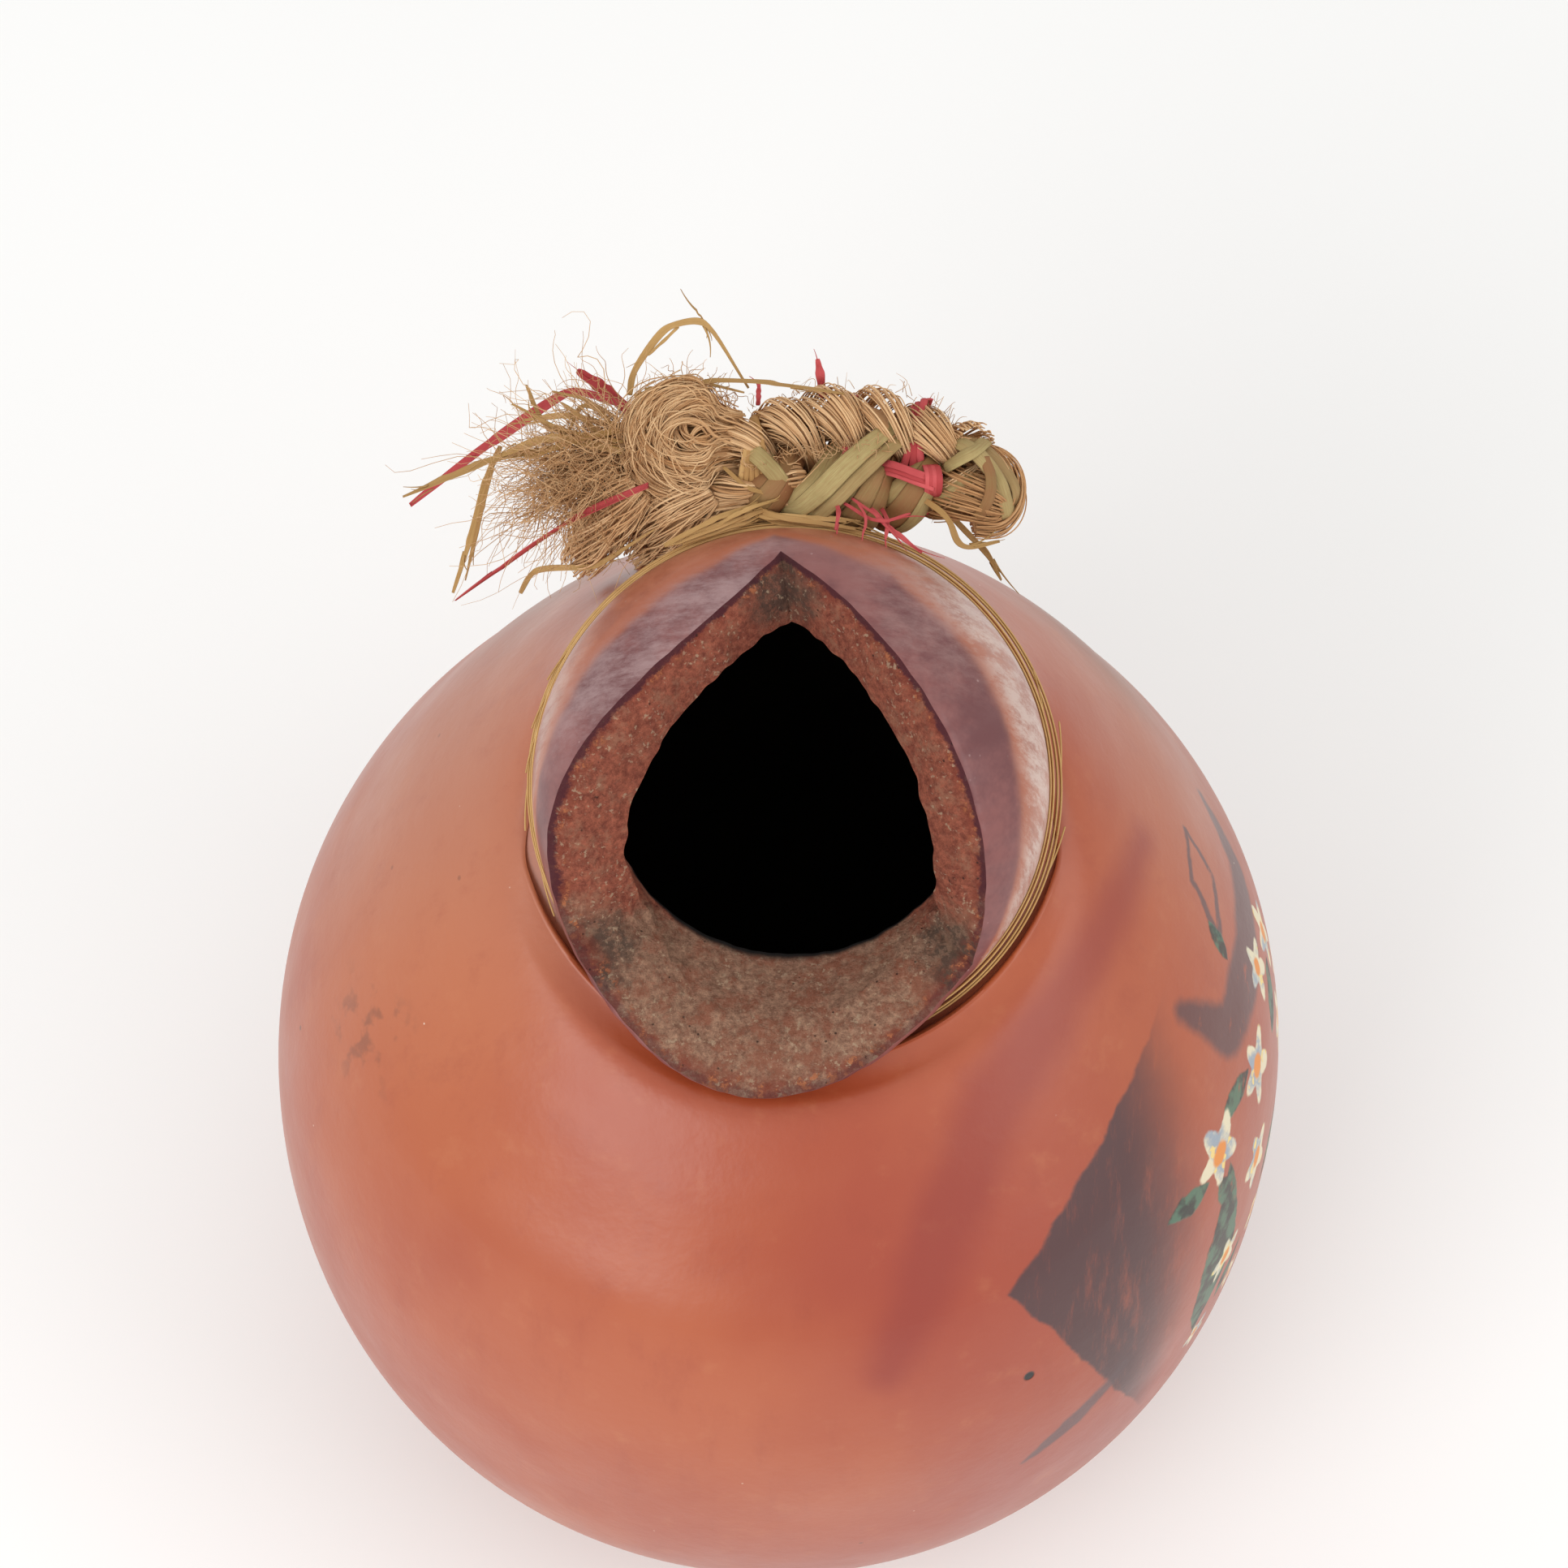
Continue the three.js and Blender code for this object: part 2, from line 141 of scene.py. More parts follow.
def globe_sections(radius, start, end, count):
    sections = []
    for latitude in np.radians(np.linspace(start, end, count)):
        across = abs(math.cos(latitude))
        up = math.sin(latitude)
        stretch = (across**FULLNESS + abs(up) ** FULLNESS) ** (-1 / FULLNESS)
        sections.append((radius * across * stretch, radius * up * stretch, 0.0))
    return sections


def shoulder_sections(globe, knots, last, count, end=1.0):
    """Sections from the globe's last one up to a share, end, of the way to the waist."""
    start = 1.0 / (len(knots) + 2)
    curve = spline([globe[-2], globe[-1], *knots, last], 200)
    picks = np.linspace(200 * start + 1, 199 * end, count).astype(int)
    return [tuple(s) for s in curve[picks]]


def waist_ring(angles, radius, height):
    radius = np.broadcast_to(radius, angles.shape)
    height = np.broadcast_to(height, angles.shape)
    return np.stack([np.cos(angles) * radius, np.sin(angles) * radius, height], 1)


def crest_ring(angles, inset, drop):
    """In front the shoulder rises to a crest outside the band, just under the lip."""
    front = np.maximum(0, -np.sin(angles))
    step = np.clip(front / 0.3, 0, 1)
    radius = WAIST_RADIUS + 1.3 + step * step * (3 - 2 * step) * CREST_OUT - inset
    height = -4.4 + (CREST_RISE - drop) * np.maximum(0, (front - 0.1) / 0.9) ** 1.2
    return from_waist(waist_ring(angles, radius, height))


def rows_up_to(before, last, target, count):
    """Rows that carry on the way the last two rows were going and bend to meet target."""
    way = last - before
    way /= np.linalg.norm(way, axis=1)[:, None]
    middle = last + way * 0.55 * np.linalg.norm(target - last, axis=1)[:, None]
    shares = np.linspace(0, 1, count + 1)[1:]
    return [(1 - t) ** 2 * last + 2 * t * (1 - t) * middle + t * t * target for t in shares]


def edge_ring(edge, angles):
    """One point of a three-lobed edge for each angle round the waist."""
    out = []
    for degrees in np.degrees(angles):
        turn = degrees + 360 if degrees < CORNER_ANGLES[0] else degrees
        lobe = max(i for i in range(3) if turn >= CORNER_ANGLES[i])
        t = (turn - CORNER_ANGLES[lobe]) / (CORNER_ANGLES[lobe + 1] - CORNER_ANGLES[lobe])
        a, b, c, d = (np.array(p, float) for p in edge[lobe])
        s = 1 - t
        out.append(s**3 * a + 3 * s * s * t * b + 3 * s * t * t * c + t**3 * d)
    return np.array(out)


def rough(points, size, seed):
    """Smooth seeded noise, about -1 to 1, one value for each point. size is its grain."""
    return np.array([noise.noise(Vector(p) / size + Vector((seed, 2.3 * seed, 5.1))) for p in points])


def chipped_edges(angles):
    """The mouth's two edges, a little ragged, and most ragged at the corners."""
    outer = edge_ring(OUTER_EDGE, angles)
    inner = edge_ring(INNER_EDGE, angles)
    away = np.min([np.abs(np.degrees(angles) % 360 - c) for c in (95, 215, 315)], axis=0)
    corner = np.exp(-((away / 7) ** 2))
    outer[:, 2] += 0.35 * rough(outer, 3, 1) - 1.2 * corner * (0.6 + 0.4 * rough(outer, 2, 2))
    outer[:, :2] *= (1 + 0.006 * rough(outer, 4, 3))[:, None]
    inner[:, :2] *= (1 + 0.02 * rough(inner, 3, 4) + 0.03 * rough(inner, 9, 5))[:, None]
    notch = np.exp(-(((np.degrees(angles) - 327) / 9) ** 2))
    inner[:, :2] *= (1 + 0.10 * notch * (0.6 + 0.8 * rough(inner, 2.5, 6)))[:, None]
    inner[:, 2] += 0.8 * rough(inner, 4, 7)
    return outer, inner


def collar_rows(angles, outer, count):
    foot = waist_ring(angles, WAIST_RADIUS, GROOVE_HALF)
    reach = np.maximum(WAIST_RADIUS, np.hypot(outer[:, 0], outer[:, 1])) + 1.2
    swell = waist_ring(angles, reach, outer[:, 2] * 0.62)
    rows = []
    for t in np.linspace(0, 1, count):
        rows.append((1 - t) ** 2 * foot + 2 * t * (1 - t) * swell + t * t * outer)
    return rows


def face_rows(outer, inner, count):
    """The sawn face, with the crumbs and pits of dry gourd flesh."""
    rows = []
    for t in np.linspace(0, 1, count)[1:]:
        row = outer * (1 - t) + inner * t
        grain = 0.6 * rough(row, 3.4, 8) + 0.34 * rough(row, 1.9, 9) + 0.9 * rough(row, 8, 10)
        row[:, 2] += 1.6 * math.sin(math.pi * t) + grain * min(1, 6 * t)
        rows.append(row)
    return rows


def throat_rows(angles, inner, count):
    front = np.maximum(0, -np.sin(angles))
    throat = waist_ring(angles, WAIST_RADIUS - NECK_WALL - 4 * front, -1.5)
    rows = []
    for t in np.linspace(0, 1, count)[1:]:
        row = inner * (1 - t) + throat * t
        row[:, :2] *= (1 + 0.02 * rough(row, 2.5, 11) * (1 - 0.6 * t))[:, None]
        rows.append(row)
    return rows


def gourd_rows():
    """Rings of points from the base's centre to the inside's lowest point, and their zones.

    Zone runs from -1 at the base to 0 at the waist, 1 at the mouth's outer edge,
    2 at its inner edge, 3 in the throat and 4 inside.
    """
    angles = np.arange(ROUND_STEPS) * 2 * math.pi / ROUND_STEPS
    flat_radius = BODY_RADIUS * (1 - (BODY_CENTRE_Z / BODY_RADIUS) ** FULLNESS) ** (1 / FULLNESS)
    flat_latitude = -math.degrees(math.atan2(BODY_CENTRE_Z, flat_radius))
    globe = globe_sections(BODY_RADIUS, flat_latitude, SHOULDER_LATITUDE, 64)
    foot = (WAIST_RADIUS + 1.2, WAIST_RISE - 4.6, WAIST_TILT)
    knot_globe = [globe_sections(BODY_RADIUS, SHOULDER_LATITUDE - 9, SHOULDER_LATITUDE, 2)[0], globe[-1]]
    outside = globe + shoulder_sections(knot_globe, SHOULDER, foot, SHOULDER_ROWS, SHOULDER_SHARE)
    rows = [section_ring(s, angles) for s in outside]
    rows += rows_up_to(rows[-2], rows[-1], crest_ring(angles, 0, 0), 12)
    rows += [crest_ring(angles, 0.15, -0.25), crest_ring(angles, 0.55, -0.1), crest_ring(angles, 0.9, 1)]
    rows.append(crest_ring(angles, 0.9, CREST_RISE))
    zones = list(np.linspace(-1, -0.02, len(rows)))

    groove = np.linspace(-GROOVE_HALF, GROOVE_HALF, 4)
    rows += [from_waist(waist_ring(angles, WAIST_RADIUS, h)) for h in groove]
    zones += [-0.015, -0.01, -0.005, 0.0]

    outer, inner = chipped_edges(angles)
    collar = collar_rows(angles, outer, COLLAR_ROWS)[1:]
    rows += [from_waist(row) for row in collar]
    zones += list(np.linspace(0, 1, COLLAR_ROWS)[1:])
    rows += [from_waist(row) for row in face_rows(outer, inner, FACE_ROWS)]
    zones += list(np.linspace(1, 2, FACE_ROWS)[1:])
    rows += [from_waist(row) for row in throat_rows(angles, inner, THROAT_ROWS)]
    zones += list(np.linspace(2, 3, THROAT_ROWS)[1:])

    hollow = globe_sections(BODY_RADIUS - WALL, -88, SHOULDER_LATITUDE, 30)
    sunk = [(r - WALL - 1, rise - WALL, tilt) for r, rise, tilt in SHOULDER]
    inner_waist = (WAIST_RADIUS - NECK_WALL, WAIST_RISE - WALL, WAIST_TILT)
    hollow_knots = [globe_sections(BODY_RADIUS - WALL, 19, 20, 2)[0], hollow[-1]]
    inside = hollow + shoulder_sections(hollow_knots, sunk, inner_waist, 12)
    rows += [section_ring(s, angles) for s in reversed(inside)]
    zones += list(np.linspace(3.1, 4, len(inside)))
    return rows, zones


# ---- Meshes ------------------------------------------------------------------------------

def make_mesh(name, points, faces, attributes, materials, face_materials=None):
    mesh = bpy.data.meshes.new(name)
    mesh.from_pydata([tuple(p) for p in np.asarray(points) / 1000], [], faces)
    for label, values in attributes.items():
        layer = mesh.attributes.new(label, "FLOAT", "POINT")
        layer.data.foreach_set("value", np.asarray(values, np.float32))
    for material in materials:
        mesh.materials.append(material)
    if face_materials is not None:
        mesh.polygons.foreach_set("material_index", np.asarray(face_materials, np.int32))
    mesh.polygons.foreach_set("use_smooth", np.ones(len(mesh.polygons), bool))
    mesh.update()
    piece = bpy.data.objects.new(name, mesh)
    bpy.context.scene.collection.objects.link(piece)
    return piece


def grid_faces(rows, around, offset=0):
    faces = []
    for i in range(rows - 1):
        for j in range(around):
            k = (j + 1) % around
            low = offset + i * around
            high = low + around
            faces.append((low + j, low + k, high + k, high + j))
    return faces


def build_gourd(materials):
    rows, zones = gourd_rows()
    around = ROUND_STEPS
    points = [p for row in rows for p in row]
    zone = list(np.repeat(zones, around))
    faces = grid_faces(len(rows), around)
    face_materials = [0 if zones[i + 1] <= 1 else 1 if zones[i + 1] <= 3 else 2
                      for i in range(len(rows) - 1) for _ in range(around)]
    base = len(points)
    points.append((0, 0, 0))
    points.append(np.mean(rows[-1], axis=0))
    zone += [-1, 4]
    last = (len(rows) - 1) * around
    for j in range(around):
        k = (j + 1) % around
        faces.append((base, k, j))
        faces.append((base + 1, last + j, last + k))
        face_materials += [0, 2]
    piece = make_mesh("gourd_skin", points, faces, {"zone": zone}, materials, face_materials)
    piece.data.set_sharp_from_angle(angle=math.radians(50))
    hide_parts("gourd_shell")
    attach(piece, "gourd")
    return piece


class Sweeps:
    """Gathers closed tubes and strips, in the waist frame, into one mesh."""

    def __init__(self):
        self.points = []
        self.faces = []
        self.tint = []
        self.along = []
        self.across = []

    def add(self, path, width, depth, facing=(0, 0, 1), sides=6, tint=0.5, taper=None, fold=0.0):
        """Sweeps an oval, width by depth, along path. The depth points along facing.

        taper scales the size at each point, and fold bends a strip into a shallow gutter.
        """
        path = np.asarray(path, float)
        count = len(path)
        tangent = np.gradient(path, axis=0)
        tangent /= np.linalg.norm(tangent, axis=1)[:, None] + 1e-9
        facing = np.broadcast_to(np.asarray(facing, float), path.shape)
        deep = facing - np.sum(facing * tangent, 1)[:, None] * tangent
        deep /= np.linalg.norm(deep, axis=1)[:, None] + 1e-9
        wide = np.cross(deep, tangent)
        size = np.ones(count) if taper is None else np.asarray(taper, float)
        angles = np.arange(sides) * 2 * math.pi / sides
        start = len(self.points)
        length = np.concatenate([[0], np.cumsum(np.linalg.norm(np.diff(path, axis=0), axis=1))])
        for i in range(count):
            across = np.cos(angles)
            w = across[:, None] * wide[i] * width * 0.5 * size[i]
            gutter = fold * np.abs(across) * width * 0.5 * size[i]
            d = (np.sin(angles) * depth * 0.5 * min(1, size[i] * 1.5) + gutter)[:, None] * deep[i]
            self.points.extend(path[i] + w + d)
            self.across.extend(across)
            self.along.extend([length[i]] * sides)
            self.tint.extend([tint] * sides)
        self.faces.extend(grid_faces(count, sides, start))
        for ring, end, flip in ((start, 0, True), (start + (count - 1) * sides, count - 1, False)):
            self.points.append(np.mean(self.points[ring : ring + sides], axis=0))
            self.across.append(0)
            self.along.append(length[end])
            self.tint.append(tint)
            tip = len(self.points) - 1
            for j in range(sides):
                k = (j + 1) % sides
                a, b = ring + j, ring + k
                self.faces.append((tip, b, a) if flip else (tip, a, b))

    def build(self, name, material, slot):
        attributes = {"tint": self.tint, "along": self.along, "across": self.across}
        piece = make_mesh(name, from_waist(self.points), self.faces, attributes, [material])
        return piece


def frames_along(path):
    """Unit vectors across a path that turn as little as possible along it."""
    tangent = np.gradient(path, axis=0)
    tangent /= np.linalg.norm(tangent, axis=1)[:, None] + 1e-9
    side = np.cross(tangent[0], (0.3, 0.2, 1.0))
    sides = []
    for t in tangent:
        side = side - np.dot(side, t) * t
        side = side / (np.linalg.norm(side) + 1e-9)
        sides.append(side)
    sides = np.array(sides)
    return sides, np.cross(tangent, sides)


def add_bundle(sweeps, path, radius, rng, fibres=26, thickness=0.8, twist=0.03, flatten=1.0, loose=0.12,
               tints=(0, 1)):
    """A bundle of fibres round a path. radius is a number or one for each point of the path."""
    path = np.asarray(path, float)
    count = len(path)
    radius = np.broadcast_to(np.asarray(radius, float), (count,))
    side, other = frames_along(path)
    length = np.concatenate([[0], np.cumsum(np.linalg.norm(np.diff(path, axis=0), axis=1))])
    core = np.clip(radius * 0.74, 0.2, None)
    sweeps.add(path, 2, 2 * flatten, facing=other, sides=10, tint=0.35, taper=core)
    for i in range(fibres):
        start_angle = 2 * math.pi * (i + rng.uniform(-0.3, 0.3)) / fibres
        depth = rng.uniform(0.72, 1.0)
        wander = rng.uniform(-1, 1) * loose
        wave = rng.uniform(0, 6.28)
        angle = start_angle + twist * length + 0.25 * np.sin(length * 0.12 + wave)
        reach = radius * (depth + wander * np.sin(length * 0.21 + wave))
        offset = np.cos(angle)[:, None] * side + flatten * np.sin(angle)[:, None] * other
        outward = offset / (np.linalg.norm(offset, axis=1)[:, None] + 1e-9)
        fibre = path + offset * reach[:, None]
        wide = thickness * rng.uniform(0.8, 1.9)
        sweeps.add(fibre, wide, thickness * 0.8, facing=outward, sides=5, tint=rng.uniform(*tints))


# ---- Materials ---------------------------------------------------------------------------

class Shader:
    """Short calls for building a node material."""

    def __init__(self, name):
        self.material = bpy.data.materials.new(name)
        self.material.use_nodes = True
        self.tree = self.material.node_tree
        self.surface = self.tree.nodes["Principled BSDF"]
        self.place = self.node("ShaderNodeTexCoord").outputs["Object"]

    def node(self, kind, **settings):
        new = self.tree.nodes.new(kind)
        for key, value in settings.items():
            setattr(new, key, value)
        return new

    def feed(self, socket, value):
        if isinstance(value, bpy.types.NodeSocket):
            self.tree.links.new(value, socket)
        elif isinstance(value, tuple) and len(value) == 3 and socket.type == "RGBA":
            socket.default_value = (*value, 1)
        else:
            socket.default_value = value

    def math(self, operation, a, b=0.0, clamp=False):
        new = self.node("ShaderNodeMath", operation=operation, use_clamp=clamp)
        self.feed(new.inputs[0], a)
        self.feed(new.inputs[1], b)
        return new.outputs[0]

    def times(self, a, b):
        return self.math("MULTIPLY", a, b)

    def plus(self, a, b):
        return self.math("ADD", a, b)

    def minus(self, a, b):
        return self.math("SUBTRACT", a, b)

    def most(self, first, *others):
        """The largest of several values."""
        for other in others:
            first = self.math("MAXIMUM", first, other)
        return first

    def dot(self, a, b):
        return self.vector("DOT_PRODUCT", a, b, output=1)

    def distance(self, a, b):
        return self.vector("DISTANCE", a, b, output=1)

    def vector(self, operation, a, b=(0, 0, 0), output=0):
        new = self.node("ShaderNodeVectorMath", operation=operation)
        self.feed(new.inputs[0], a)
        self.feed(new.inputs[1], b)
        return new.outputs[output]

    def scaled(self, vector, factor):
        new = self.node("ShaderNodeVectorMath", operation="SCALE")
        self.feed(new.inputs[0], vector)
        self.feed(new.inputs["Scale"], factor)
        return new.outputs[0]

    def attribute(self, name):
        return self.node("ShaderNodeAttribute", attribute_name=name).outputs["Fac"]

    def noise(self, scale, detail=4.0, roughness=0.55, where=None, stretch=None):
        where = self.place if where is None else where
        if stretch is not None:
            where = self.vector("MULTIPLY", where, stretch)
        new = self.node("ShaderNodeTexNoise")
        self.feed(new.inputs["Vector"], where)
        self.feed(new.inputs["Scale"], scale)
        self.feed(new.inputs["Detail"], detail)
        self.feed(new.inputs["Roughness"], roughness)
        return new.outputs["Fac"]

    def spots(self, low, high, *noise):
        """Noise made into patches, as between does it with low and high."""
        return self.between(self.noise(*noise), low, high)

    def wobble(self, size, *noise):
        """Noise about zero, half of size to either side."""
        return self.times(self.minus(self.noise(*noise), 0.5), size)

    def cells(self, scale):
        new = self.node("ShaderNodeTexVoronoi")
        self.feed(new.inputs["Vector"], self.place)
        self.feed(new.inputs["Scale"], scale)
        return new.outputs["Distance"]

    def between(self, value, low, high):
        """0 below low, 1 above high and smooth in between. It runs down if low is above high."""
        new = self.node("ShaderNodeMapRange", interpolation_type="SMOOTHSTEP")
        self.feed(new.inputs["Value"], value)
        flip = low > high
        self.feed(new.inputs["From Min"], min(low, high))
        self.feed(new.inputs["From Max"], max(low, high))
        self.feed(new.inputs["To Min"], 1.0 if flip else 0.0)
        self.feed(new.inputs["To Max"], 0.0 if flip else 1.0)
        return new.outputs[0]

    def blend(self, factor, a, b):
        new = self.node("ShaderNodeMix", data_type="RGBA", blend_type="MIX")
        self.feed(new.inputs["Factor"], factor)
        self.feed(new.inputs[6], a)
        self.feed(new.inputs[7], b)
        return new.outputs[2]

    def wash(self, mask, share, base, over):
        """Paints over on base where mask is, and lets 1 - share of the base show through."""
        return self.blend(self.times(mask, share), base, over)

    def bump(self, height, strength, distance):
        new = self.node("ShaderNodeBump")
        self.feed(new.inputs["Height"], height)
        self.feed(new.inputs["Strength"], strength)
        self.feed(new.inputs["Distance"], distance)
        return new.outputs[0]

    def finish(self, colour, roughness, normal=None, **others):
        self.feed(self.surface.inputs["Base Color"], colour)
        self.feed(self.surface.inputs["Roughness"], roughness)
        if normal is not None:
            self.feed(self.surface.inputs["Normal"], normal)
        for key, value in others.items():
            self.feed(self.surface.inputs[key.replace("_", " ")], value)
        return self.material


FIBRE_ROUGHNESS = 0.75


def fibre_material(name, dark, light, streak):
    """Dry plant fibre: each strand has its own tint, with fine streaks along it."""
    s = Shader(name)
    tint = s.attribute("tint")
    colour = s.blend(tint, dark, light)
    patch = s.spots(0.35, 0.7, 180, 3)
    colour = s.wash(patch, 0.5, colour, streak)
    along = s.attribute("along")
    across = s.attribute("across")
    lines = s.node("ShaderNodeCombineXYZ")
    s.feed(lines.inputs[0], s.times(along, 0.12))
    s.feed(lines.inputs[1], s.times(across, 5.0))
    s.feed(lines.inputs[2], s.times(tint, 40.0))
    grain = s.noise(1.6, 5, 0.7, where=lines.outputs[0])
    shade = s.between(grain, 0.3, 0.72)
    colour = s.wash(s.minus(1.0, shade), 0.45, colour, dark)
    normal = s.bump(grain, 0.5, 0.0003)
    return s.finish(colour, FIBRE_ROUGHNESS, normal, Specular_IOR_Level=0.3)


SISAL = fibre_material("Sisal fibre", (0.50, 0.26, 0.11), (0.95, 0.66, 0.37), (0.68, 0.37, 0.16))
PALM = fibre_material("Palm leaf strip", (0.26, 0.10, 0.038), (0.46, 0.375, 0.16), (0.25, 0.20, 0.07))
RAFFIA = fibre_material("Raffia strip", (0.44, 0.24, 0.085), (0.74, 0.48, 0.20), (0.55, 0.31, 0.11))
STRAW = fibre_material("Straw strip", (0.34, 0.18, 0.06), (0.66, 0.42, 0.165), (0.44, 0.26, 0.085))
DYED = fibre_material("Red dyed leaf", (0.46, 0.055, 0.058), (0.70, 0.125, 0.13), (0.38, 0.04, 0.045))


# ---- Painted gourd -----------------------------------------------------------------------

# The picture on the body is drawn in millimetres on a flat map that touches it here.
PICTURE_AIM = np.array([0.68, -0.517, 0.52])
PICTURE_RIGHT = np.array([0.733, 0.479, -0.482])
PICTURE_UP = np.cross(PICTURE_AIM, PICTURE_RIGHT)


def from_body_centre(s):
    """The direction of each point from the body's centre."""
    centre = (0.0, 0.0, BODY_CENTRE_Z / 1000)
    return s.vector("NORMALIZE", s.vector("SUBTRACT", s.place, centre))


def near(s, aim, target, inner, outer, wobble=0.0, grain=25):
    """1 where the skin is within inner of a direction, 0 past outer, with a wobbly edge."""
    away = s.distance(aim, tuple(np.array(target) / np.linalg.norm(target)))
    if wobble:
        away = s.plus(away, s.wobble(wobble, grain, 3))
    return s.between(away, outer, inner)


def picture_map(s, aim):
    """Flat coordinates of the picture, in millimetres, as a vector, with a hand-drawn waver."""
    facing = s.dot(aim, tuple(PICTURE_AIM))
    across = s.dot(aim, tuple(PICTURE_RIGHT))
    up = s.dot(aim, tuple(PICTURE_UP))
    facing = s.most(facing, 0.05)
    flat = s.node("ShaderNodeCombineXYZ")
    waver = s.wobble(5.0, 90, 4, 0.6)
    second = s.times(s.minus(s.noise(70, 4, 0.6, stretch=(1, 1, -1)), 0.5), 5.0)
    u = s.times(s.math("DIVIDE", across, facing), BODY_RADIUS)
    v = s.times(s.math("DIVIDE", up, facing), BODY_RADIUS)
    s.feed(flat.inputs[0], s.plus(u, waver))
    s.feed(flat.inputs[1], s.plus(v, second))
    return flat.outputs[0], s.between(facing, 0.1, 0.3)


def stroke(s, flat, points, soft=1.0):
    """A brush stroke through points of (u, v, half width)."""
    runs = []
    for (au, av, ar), (bu, bv, br) in zip(points, points[1:]):
        a = (au, av, 0.0)
        run = (bu - au, bv - av, 0.0)
        length = math.hypot(run[0], run[1])
        from_a = s.vector("SUBTRACT", flat, a)
        share = s.math("DIVIDE", s.dot(from_a, run), length**2, clamp=True)
        nearest = s.scaled(run, share)
        away = s.distance(from_a, nearest)
        width = s.plus(s.times(share, br - ar), ar)
        runs.append(s.between(s.minus(away, width), soft, -soft))
    return s.most(*runs)


def half_plane(s, flat, point, inward, soft):
    """1 on the inward side of a line through point, feathered over soft millimetres."""
    size = math.hypot(*inward)
    aimed = (inward[0] / size, inward[1] / size, 0.0)
    depth = s.dot(s.vector("SUBTRACT", flat, (*point, 0.0)), aimed)
    return s.between(depth, 0, soft)


def leaf(s, flat, centre, angle, length, width):
    turn = math.radians(angle)
    along_way = (math.cos(turn), math.sin(turn), 0.0)
    side_way = (-math.sin(turn), math.cos(turn), 0.0)
    local = s.vector("SUBTRACT", flat, (*centre, 0.0))
    along = s.math("DIVIDE", s.dot(local, along_way), length / 2)
    side = s.math("ABSOLUTE", s.dot(local, side_way))
    room = s.times(s.minus(1.0, s.times(along, along)), width / 2)
    return s.between(s.minus(room, side), -0.4, 0.5)


def blossom(s, flat, centre, radius, turn):
    """Five round petals, and the small round heart between them."""
    local = s.vector("SUBTRACT", flat, (*centre, 0.0))
    away = s.vector("LENGTH", local, output=1)
    parts = s.node("ShaderNodeSeparateXYZ")
    s.feed(parts.inputs[0], local)
    angle = s.math("ARCTAN2", parts.outputs[1], parts.outputs[0])
    lobes = s.math("COSINE", s.plus(s.times(angle, 5.0), turn))
    edge = s.plus(s.times(lobes, 0.24 * radius), 0.76 * radius)
    petals = s.between(s.minus(edge, away), -0.5, 0.6)
    heart = s.between(away, 0.36 * radius, 0.24 * radius)
    return petals, heart


BLOSSOMS = [
    ((20, 2), 8, 0.4), ((76, -12), 8, 1.1), ((66, -29), 7, 0.2), ((61, -46), 6, 2.0),
    ((47, -57), 5.5, 0.9), ((68, 44), 10, 0.6), ((74, 20), 9, 1.7), ((84, 34), 8, 2.4),
    ((40, 15), 9, 0.3), ((45, -7), 8, 1.2), ((40, -30), 7, 2.0), ((50, 36), 8, 0.8),
]
LEAVES = [
    ((34, -28), -72, 56, 15), ((28, -10), -40, 18, 7), ((10, -6), 200, 15, 6), ((29, 45), -60, 11, 5),
    ((66, -10), 60, 20, 8), ((52, -40), 80, 18, 7), ((60, 28), 70, 20, 8), ((27, 12), 35, 15, 6),
]


